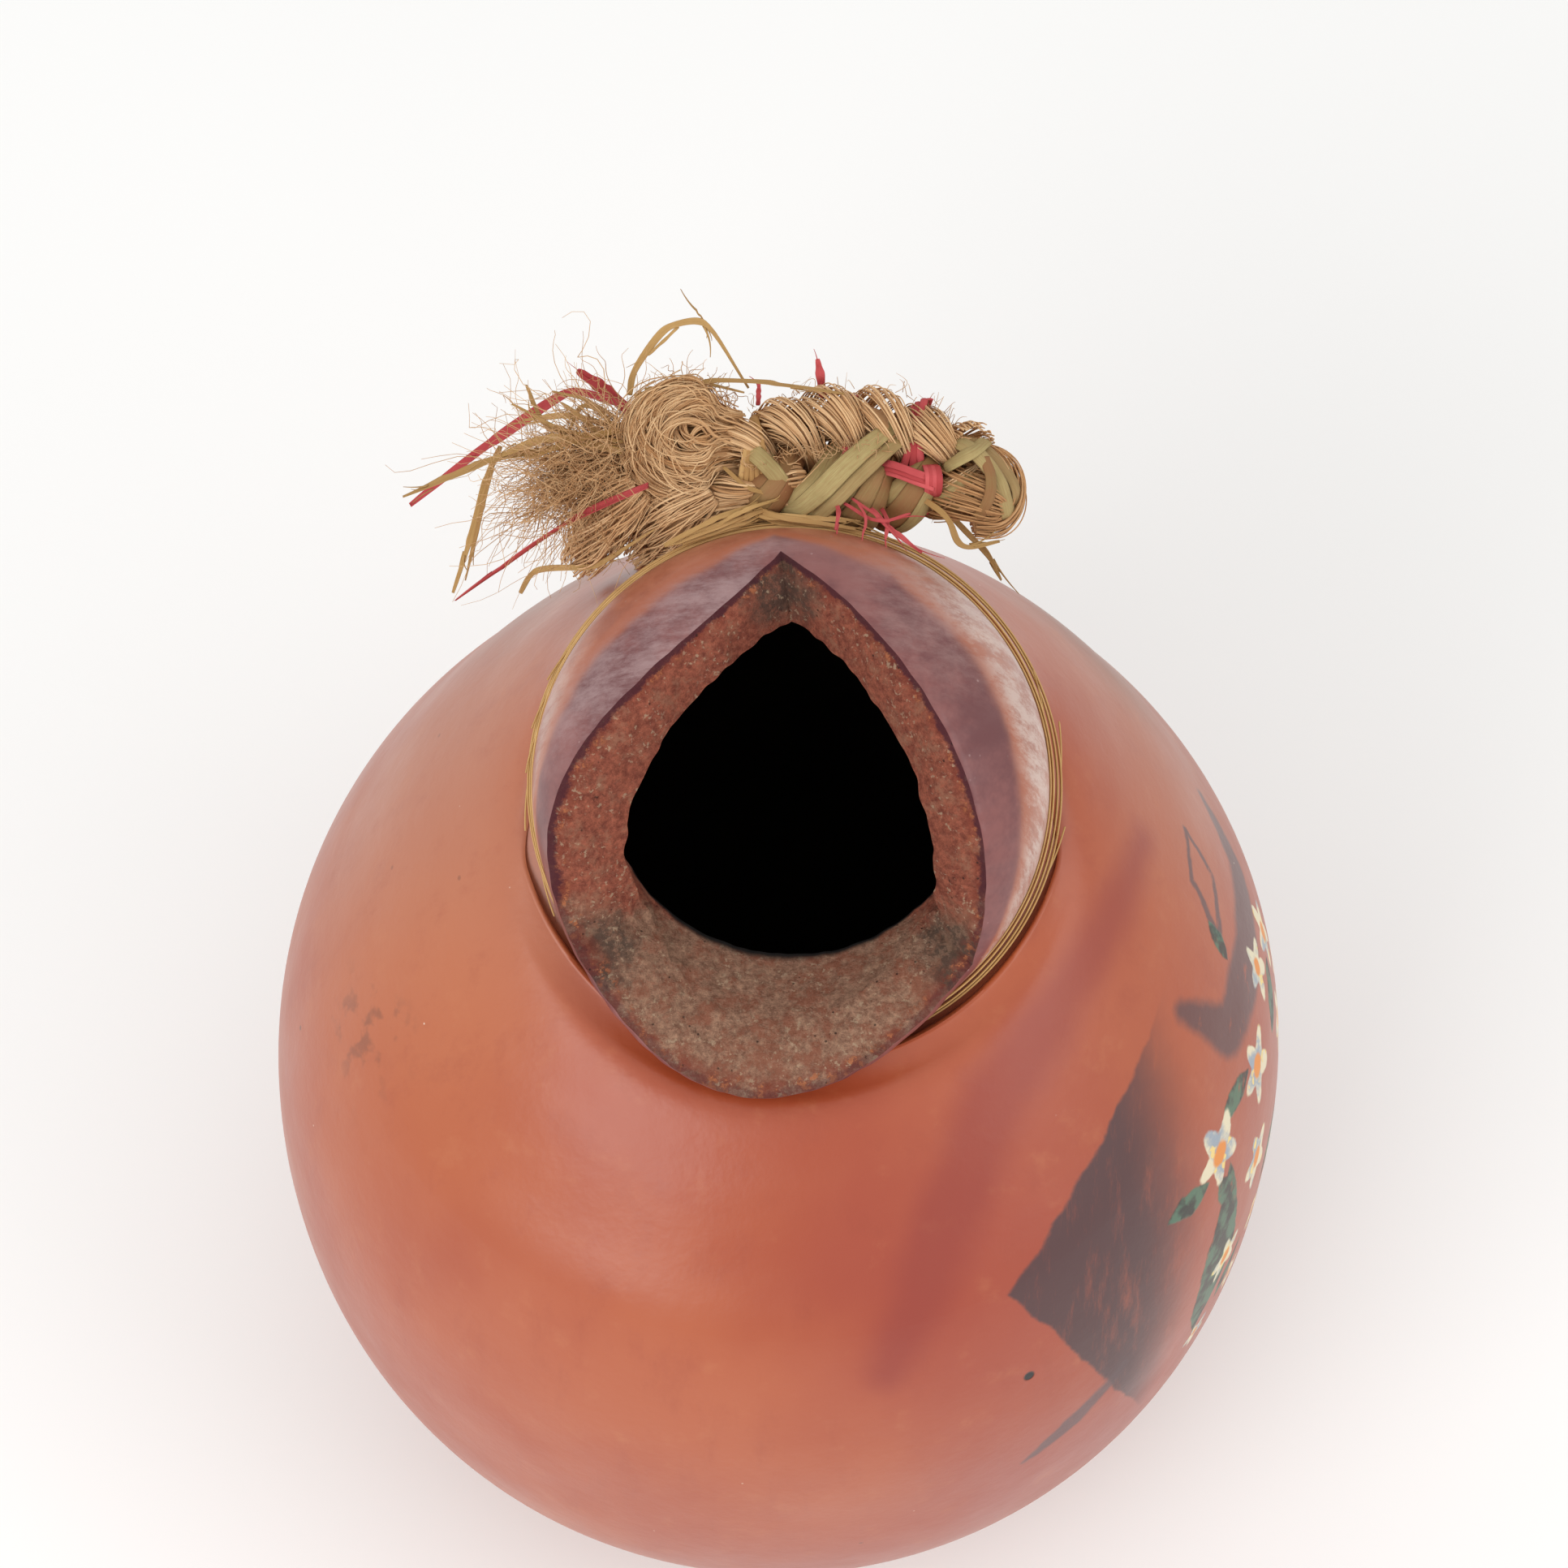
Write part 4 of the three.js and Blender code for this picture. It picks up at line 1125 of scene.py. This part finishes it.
def add_hairs(sweeps, rng, roots, aim, count, length, spread, thickness=0.26, curl=1.5, sag=0.0, frizz=0.0):
    """Loose hairs from points along roots. Each sets off near aim, wanders, sags and frizzes."""
    roots = spline(roots, 40)
    steps = 20 if frizz else 9
    t = np.linspace(0, 1, steps)[:, None]
    for _ in range(count):
        root = roots[rng.integers(0, 40)] + rng.normal(0, 0.5, 3)
        way = np.array(aim, float) + rng.normal(0, spread, 3)
        way /= np.linalg.norm(way) + 1e-9
        reach = length * rng.uniform(0.45, 1.1)
        bend = rng.normal(0, curl, 3)
        turn = rng.normal(0, curl * 0.6, 3)
        drop = np.array([0, -0.5, -0.87]) * sag
        hair = root + way * reach * t + bend * t**2 * reach * 0.1 + turn * np.sin(3.1 * t) + drop * t**2
        if frizz:
            swirl = np.sin(rng.uniform(9, 22) * t + rng.uniform(0, 6.28, 3))
            hair = hair + frizz * rng.uniform(0.4, 1.3) * t**0.8 * swirl
        taper = 1 - 0.6 * t[:, 0] ** 2
        sweeps.add(hair, thickness, thickness, sides=4, tint=rng.uniform(0, 1), taper=taper)


def frayed_tuft():
    """Fine curly fibre that bursts out of the cord's end."""
    rng = np.random.default_rng(16)
    sweeps = Sweeps()
    core = spline([(-27, 63, -10), (-34, 62, -11), (-40, 59.5, -13), (-45, 56, -15)], 30)
    add_bundle(sweeps, core, np.linspace(5.0, 1.6, 30), rng, fibres=60, thickness=0.36, twist=0.02, loose=0.4)
    roots = [(-29, 63.5, -6), (-34, 61.5, -8), (-40, 59, -11)]
    fans = [
        ((-1.0, 0.15, 0.15), 21, 200), ((-0.95, -0.2, 0.2), 22, 240), ((-0.9, -0.45, 0.0), 19, 170),
    ]
    for aim, length, count in fans:
        add_hairs(sweeps, rng, roots, aim, count, length, 0.42, thickness=0.2, curl=3.0, sag=1.0, frizz=2.0)
    finish_piece(sweeps, "frayed_tuft_fibres", SISAL, "sisal", "hank", "frayed_tuft")


def shoulder_tufts():
    """Two tails of the cord that droop over the shoulder and fray at their ends."""
    rng = np.random.default_rng(17)
    tufts = [
        ("shoulder_tuft_outer", [(-28.5, 58, -3), (-33, 54.4, -7), (-37, 49.8, -15), (-41, 44, -29)]),
        ("shoulder_tuft_inner", [(-15, 57, -2), (-20, 54.4, -4), (-24.5, 50.5, -10), (-29.5, 45.6, -24)]),
    ]
    for name, knots in tufts:
        sweeps = Sweeps()
        path = spline(knots, 34)
        swell = 2.4 + 3.6 * np.sin(np.pi * np.linspace(0.1, 0.88, 34)) ** 0.9
        add_bundle(sweeps, path, swell, rng, fibres=120, thickness=0.30, twist=0.03, flatten=0.85, loose=0.3,
                   tints=(0.4, 1.35))
        way = path[-1] - path[12]
        add_hairs(sweeps, rng, [path[10], path[20], path[30]], way, 60, 8, 0.40,
                  thickness=0.18, curl=1.4, frizz=0.9)
        finish_piece(sweeps, name + "_fibres", SISAL, "sisal", "plait", name)


# ---- Strips ------------------------------------------------------------------------------

def bent(knots, count=44):
    """A path of nearly straight runs with creased corners, as dry leaf bends."""
    knots = np.asarray(knots, float)
    points = [knots[0]]
    for before, corner, after in zip(knots, knots[1:], knots[2:]):
        for end in (before, after):
            length = np.linalg.norm(end - corner)
            points.append(corner + (end - corner) / length * min(1.3, 0.3 * length))
    points.append(knots[-1])
    return spline(points, count)


def add_strip(sweeps, rng, knots, width, facing=(0, 0, 1), fold=0.25, splits=2):
    """A dry leaf strip: creased, gutter-folded and wavy, with slivers splitting off its end."""
    path = bent(knots)
    t = np.linspace(0, 1, len(path))
    wave = 0.18 * np.sin(t * rng.uniform(9, 15) + rng.uniform(0, 6))
    path = path + wave[:, None] * np.array(facing, float)
    taper = 1 - 0.3 * np.abs(2 * t - 1) ** 3 - 0.35 * t**6 + 0.10 * np.sin(t * rng.uniform(12, 22))
    tint = rng.uniform(0.2, 0.9)
    sweeps.add(path, width, 0.34, facing=facing, sides=12, tint=tint, taper=taper, fold=fold)
    way = path[-1] - path[-6]
    way /= np.linalg.norm(way)
    s = np.linspace(0, 1, 8)[:, None]
    for _ in range(splits):
        root = path[-8] + rng.normal(0, 0.25 * width, 3) * (1, 1, 0.3)
        bend = rng.normal(0, 1.0, 3)
        sliver = root + way * s * rng.uniform(3, 7) + bend * s**2
        sweeps.add(sliver, 0.4 * rng.uniform(0.6, 1.4), 0.22, facing=facing, sides=5, tint=tint,
                   taper=1 - 0.7 * s[:, 0])


FACE_ON = (0, 0, 1)
TILTED = (0.3, 0.7, 0.7)
RED_STRIPS = {
    "red_end_long": ("hank", 2.55, [(-30, 72.5, -13), (-42.5, 76.2, -17), (-58, 66.5, -19),
                                    (-74, 54.5, -21)], TILTED),
    "red_end_stub": ("hank", 2.5, [(-29, 70.5, -18), (-36.5, 77.2, -19), (-41.5, 80.5, -18)], FACE_ON),
    "red_end_low": ("hank", 2.55, [(-27, 56.5, 3), (-42, 50.4, -4), (-56, 42.5, -21),
                                   (-66, 36.5, -32)], TILTED),
    "red_spike": ("plait", 1.7, [(6, 74.5, -10), (5.6, 78.6, -9), (5, 81.8, -8)], FACE_ON),
    "red_fray_left": ("band", 0.9, [(7.8, 54.6, -2), (9, 52, 5.2), (8.2, 48, 10)], FACE_ON),
    "red_fray_right": ("band", 0.9, [(16.5, 53.8, -2), (18.2, 50, 5), (17.6, 46.2, 9)], FACE_ON),
}
LOOP_KNOTS = [(-31, 75, -10), (-30.4, 79.5, -10), (-24, 88, -8.5), (-16.8, 89.3, -8.5), (-8.2, 76.4, -10)]
STRAW_STRIPS = {
    "straw_loop_tall": ("hank", 1.37, LOOP_KNOTS, FACE_ON),
    "straw_bridge": ("plait", 1.44, [(-28, 75.4, -5), (-16, 77, -3), (-3, 76.4, -1), (10, 74.2, 0)], TILTED),
    "straw_tip_left": ("hank", 1.94, [(-45, 64.4, -7), (-58.5, 62, -8), (-66.5, 58.6, -9),
                                      (-74.5, 55.6, -10)], TILTED),
    "straw_fan_upper": ("hank", 1.22, [(-32, 68.5, -8), (-43, 71, -7), (-51.5, 70, -8)], FACE_ON),
    "straw_fan_lower": ("hank", 1.3, [(-32, 68, -4), (-41, 66, -3), (-50, 62.5, -5)], FACE_ON),
    "straw_drop": ("hank", 1.3, [(-56.4, 66, -20), (-59.5, 60, -24), (-63, 48, -28),
                                 (-66.5, 38, -31)], FACE_ON),
    "straw_shoulder": ("plait", 1.15, [(-53.4, 38, -33), (-51, 42.4, -34), (-38, 42.5, -17),
                                       (-26, 48.8, -2)], FACE_ON),
    "straw_end_inner": ("band", 1.22, [(24.5, 54.8, 0), (29.5, 51, 2), (32, 45, 3),
                                       (39.5, 46.5, -1)], FACE_ON),
    "straw_end_outer": ("plait", 1.22, [(30, 53, -15), (35, 48, -17), (38, 45, -17),
                                        (40.6, 39.8, -16)], FACE_ON),
}
# Straws and slivers with no CAD node of their own: body, width and path.
EXTRA_STRAWS = [
    ("hank", 1.15, [(-32, 63.5, -3), (-38, 68.5, -5), (-44, 73.4, -7)]),
    ("hank", 1.01, [(-31, 65, -3), (-37.6, 72.4, -7), (-40.4, 73, -8), (-43, 66, -6)]),
    ("hank", 1.08, [(-36, 65, -5), (-47.2, 69, -9), (-51, 77, -11)]),
    ("hank", 0.94, [(-32, 65.4, -3), (-44.3, 68.2, -6), (-53.6, 73.2, -9)]),
    ("hank", 1.73, [(-32, 63.6, -2), (-46, 66.6, -5), (-57.4, 62.6, -8)]),
    ("hank", 0.86, [(-33, 70, -9), (-39, 74, -10), (-46, 76, -12)]),
    ("hank", 1.01, [(-57.5, 64, -19), (-60.4, 54.4, -25), (-64, 40.4, -30)]),
    ("hank", 0.65, [(-21.6, 88, -8.6), (-27.4, 82.6, -9)]),
    ("hank", 0.36, [(-16.8, 89.2, -8.6), (-18.6, 91.6, -9)]),
    ("hank", 0.94, [(-30, 74.5, -6), (-20, 77.6, -6), (-9, 75, -5)]),
    ("plait", 1.08, [(-36, 46.4, -24), (-33, 49.4, -19), (-27, 56, -6)]),
    ("plait", 1.22, [(-21, 49, -12), (-17.4, 53, -4), (-13.6, 58.4, -1)]),
    ("plait", 1.01, [(-25, 52.4, -10), (-15, 56.4, -2), (-4, 57.6, 0)]),
    ("band", 1.1, [(-24, 45.4, 3), (-14.4, 50.4, 5), (-6.4, 53.6, 2)]),
    ("band", 0.9, [(-17, 47.6, 3), (-9.4, 51.8, 4.6), (-2, 54.6, 1)]),
    ("plait", 0.94, [(-13, 60.5, 0), (-7, 55.6, 1.6), (-1, 55.8, 1)]),
]
EXTRA_REDS = [
    ("band", 0.8, [(9.6, 53.6, 2), (16.4, 49.6, 7), (22.4, 51.4, 4)]),
    ("band", 1.1, [(15, 52.4, 3), (19, 48, 6.5), (24.6, 44, 6)]),
    ("band", 0.7, [(11.4, 54.4, 2), (16, 51, 6), (20.6, 45.6, 8)]),
    ("band", 0.6, [(12.6, 53.6, 3), (14.2, 50, 7), (13.4, 47.4, 9)]),
    ("plait", 1.0, [(-6.4, 73, -8), (-6.2, 77, -7)]),
]


def loose_strips():
    rng = np.random.default_rng(18)
    for name, (body, width, knots, facing) in RED_STRIPS.items():
        sweeps = Sweeps()
        add_strip(sweeps, rng, knots, width, facing, fold=0.45, splits=1)
        finish_piece(sweeps, name + "_leaf", DYED, "dyed_leaf", body, name)
    for name, (body, width, knots, facing) in STRAW_STRIPS.items():
        sweeps = Sweeps()
        add_strip(sweeps, rng, knots, width, facing, fold=0.4, splits=3)
        finish_piece(sweeps, name + "_leaf", STRAW, "straw", body, name)
    extras = (("straws", EXTRA_STRAWS, STRAW, "straw"), ("dyed_slivers", EXTRA_REDS, DYED, "dyed_leaf"))
    for label, strips, material, slot in extras:
        for body in sorted({strip[0] for strip in strips}):
            sweeps = Sweeps()
            for _, width, knots in (strip for strip in strips if strip[0] == body):
                add_strip(sweeps, rng, knots, width, (0.2, 0.3, 1), fold=0.35, splits=1)
            finish_piece(sweeps, f"{body}_{label}", material, slot, body)


def band():
    """Thin raffia straws round the waist, in two strips with a slit between them."""
    rng = np.random.default_rng(19)
    angles = np.linspace(math.radians(-84), math.radians(272), 260)
    inside = 48.75
    bands = {
        "band_strip_upper": [(0.25, 2.3, 1.8), (0.85, 1.8, 1.6)],
        "band_strip_lower": [(1.65, 0.6, 1.8), (2.25, -0.2, 1.6)],
    }
    outward = np.stack([np.cos(angles), np.sin(angles), 0 * angles], 1)
    slack = 0.80 + 0.32 * np.cos(angles + 0.5)
    for name, straws in bands.items():
        sweeps = Sweeps()
        for out, height, tall in straws:
            wave = 0.06 * np.sin(angles * rng.integers(4, 11) + rng.uniform(0, 6))
            level = height + 0.3 * np.sin(angles * rng.integers(2, 5) + rng.uniform(0, 6))
            r = inside + out * slack + wave
            path = np.stack([np.cos(angles) * r, np.sin(angles) * r, level], 1)
            size = 1 + 0.14 * np.sin(angles * rng.integers(5, 11) + rng.uniform(0, 6))
            sweeps.add(path, tall, 0.48, facing=outward, sides=10, tint=rng.uniform(0.4, 1), taper=size)
        for _ in range(7):
            at = rng.integers(20, 240)
            sliver = path[at : at + 8] + outward[at : at + 8] * np.linspace(0.1, 1.2, 8)[:, None]
            sweeps.add(sliver, 0.35, 0.2, facing=FACE_ON, sides=4, tint=rng.uniform(0.3, 1))
        finish_piece(sweeps, name + "_straws", RAFFIA, "raffia", "band", name)


def knot_straps(rng):
    """Raffia straps that cross over the band's top."""
    straps = {
        "knot_strip_left": [(-21, 46.4, 3.2), (-15, 48.4, 4.2), (-9, 50.2, 3.4), (-4, 52.6, -1)],
        "knot_strip_right": [(-8, 53.0, -1), (-3, 50.6, 2.6), (4, 50.0, 2.8), (12, 48.8, 2.4)],
    }
    for name, knots in straps.items():
        sweeps = Sweeps()
        for i in range(5):
            tilt = rng.uniform(-0.08, 0.08)
            path = np.array(knots) + (rng.uniform(-2, 2), 0.42 * (i - 2), -0.4 * abs(i - 2))
            path[:, 1] += tilt * (path[:, 0] - path[0, 0] - 10)
            facing = (-0.2 + rng.uniform(-0.3, 0.3), 0.5, 0.85)
            add_strip(sweeps, rng, path, rng.uniform(0.7, 1.3), facing, fold=0.25, splits=2)
        finish_piece(sweeps, name + "_straws", RAFFIA, "raffia", "band", name)


def knot_lashing(rng):
    """The lashing round the plait's root."""
    sweeps = Sweeps()
    for i in range(6):
        path, outward = wrap_path(-8.8 + 0.8 * i, 0.08 * (i - 2.5), 8.6, 7.4, 1.05, 0.8)
        sweeps.add(path, 1.1, 0.4, facing=outward, sides=8, tint=rng.uniform(0, 0.7))
    finish_piece(sweeps, "knot_tie_straws", RAFFIA, "raffia", "plait", "knot_tie")


def cord_roots(rng):
    """Bundles of fibre round the plait's root. No CAD node has their shape."""
    sweeps = Sweeps()
    roots = (
        ([(-19, 50, -8), (-12, 53.2, -3), (-4, 54.4, -2), (4, 53.2, -3), (10, 53.6, -6)], 3.0),
        ([(-15, 56.5, -3), (-9, 56, -0.5), (-3, 57.5, -1), (2, 59, -3)], 2.6),
        ([(-24, 48.6, -14), (-17, 50.4, -8), (-10, 51.6, -4), (-3, 51.6, -3)], 2.2),
    )
    for knots, radius in roots:
        path = spline(knots, 34)
        swell = radius * (0.75 + 0.35 * np.sin(np.linspace(0, 9, 34)))
        add_bundle(sweeps, path, swell, rng, fibres=54, thickness=0.36, twist=0.05, loose=0.2)
    finish_piece(sweeps, "cord_root_fibres", SISAL, "sisal", "plait")


def knot():
    rng = np.random.default_rng(20)
    knot_straps(rng)
    knot_lashing(rng)
    cord_roots(rng)


# Frizz by piece: its body, then for each patch what add_hairs takes, in its order: roots, aim,
# count, length, spread, thickness, and for some curl, sag and frizz.
FRIZZ = {
    "hank_frizz": ("hank", [
        ([(-28, 71, -6), (-20, 74, -5), (-11, 71, -6)], (-0.2, 0.8, 0.3), 90, 8, 0.7, 0.18, 2.0, 0.0, 0.6),
        ([(-30, 60, -8), (-34, 66, -8), (-30, 71, -9)], (-0.9, 0.2, 0.3), 120, 17, 0.6, 0.18, 2.5, 0.0, 0.8),
        ([(-36, 60, -12), (-46, 56, -15)], (-0.7, -0.5, 0.1), 26, 26, 0.6, 0.15, 5.0, 0.0, 0.5),
    ]),
    "plait_frizz": ("plait", [
        ([(-8, 72, -6), (8, 76, -6), (24, 74, -7), (32, 68, -8)], (0.1, 0.7, 0.5), 60, 3.6, 0.9, 0.13),
        ([(0, 53, -4), (12, 52, -4), (26, 53, -5)], (0.2, -0.7, 0.5), 40, 4, 0.8, 0.13),
        ([(-8, 60, 1), (4, 64, 1), (18, 64, 1)], (0.2, 0.1, 1.0), 70, 3.5, 0.7, 0.16),
    ]),
    "plait_tip_frizz": ("plait_tip", [
        ([(35, 65, -7), (42, 58, -7), (39, 49, -6)], (0.6, 0.1, 0.4), 50, 3, 0.8, 0.13),
    ]),
}


def stray_hairs():
    """Fine frizz that stands off the cord."""
    rng = np.random.default_rng(21)
    for name, (body, patches) in FRIZZ.items():
        sweeps = Sweeps()
        for roots, aim, *settings in patches:
            add_hairs(sweeps, rng, roots, aim, *settings)
        finish_piece(sweeps, name, SISAL, "sisal", body)


plait_strands()
palm_strips()
red_wraps()
plait_tip()
sisal_hank()
frayed_tuft()
shoulder_tufts()
loose_strips()
band()
knot()
stray_hairs()


# ---- Studio ------------------------------------------------------------------------------

FLOOR_HALF = 3.0
WORLD_STRENGTH = 0.9


def studio_floor():
    mesh = bpy.data.meshes.new("studio_floor")
    signs = ((-1, -1), (1, -1), (1, 1), (-1, 1))
    corners = [(FLOOR_HALF * x, FLOOR_HALF * y, 0) for x, y in signs]
    mesh.from_pydata(corners, [], [(0, 1, 2, 3)])
    s = Shader("Studio floor")
    grain = s.blend(s.noise(3, 2), (0.90, 0.90, 0.89), (0.92, 0.92, 0.91))
    mesh.materials.append(s.finish(grain, 0.9, Specular_IOR_Level=0.0))
    floor = bpy.data.objects.new("studio_floor", mesh)
    bpy.context.scene.collection.objects.link(floor)


def soft_light(name, place, target, size, power):
    light = bpy.data.lights.new(name, "AREA")
    light.shape = "RECTANGLE"
    light.size, light.size_y = size
    light.energy = power
    lamp = bpy.data.objects.new(name, light)
    lamp.location = place
    lamp.rotation_euler = (Vector(target) - Vector(place)).to_track_quat("-Z", "Y").to_euler()
    bpy.context.scene.collection.objects.link(lamp)


def studio_world():
    world = bpy.data.worlds.new("Studio white")
    world.use_nodes = True
    background = world.node_tree.nodes["Background"]
    background.inputs[0].default_value = (1.0, 1.0, 0.995, 1)
    background.inputs[1].default_value = WORLD_STRENGTH
    bpy.context.scene.world = world


SENSOR_WIDTH = 36
LENS = 102.5
CAMERA_TARGET = (-1.4, 0.4, 0)  # in the waist frame
CAMERA_DISTANCE = 0.847  # metres from the target, along the waist's normal


def camera():
    data = bpy.data.cameras.new("camera")
    data.sensor_width = SENSOR_WIDTH
    data.lens = LENS
    view = bpy.data.objects.new("camera", data)
    target = Vector(from_waist([CAMERA_TARGET])[0] / 1000)
    view.location = target + Vector(WAIST_NORMAL) * CAMERA_DISTANCE
    view.rotation_euler = (target - view.location).to_track_quat("-Z", "Y").to_euler()
    data.clip_start = 0.01
    bpy.context.scene.collection.objects.link(view)
    bpy.context.scene.camera = view


studio_floor()
studio_world()
soft_light("key_softbox", (-0.62, -0.78, 0.86), target=(0, 0, 0.1), size=(0.7, 0.7), power=5.6)
soft_light("fill_softbox", (0.9, -0.4, 0.8), target=(0, 0, 0.1), size=(0.8, 0.8), power=2.6)
camera()
bpy.context.scene.view_settings.view_transform = "Standard"
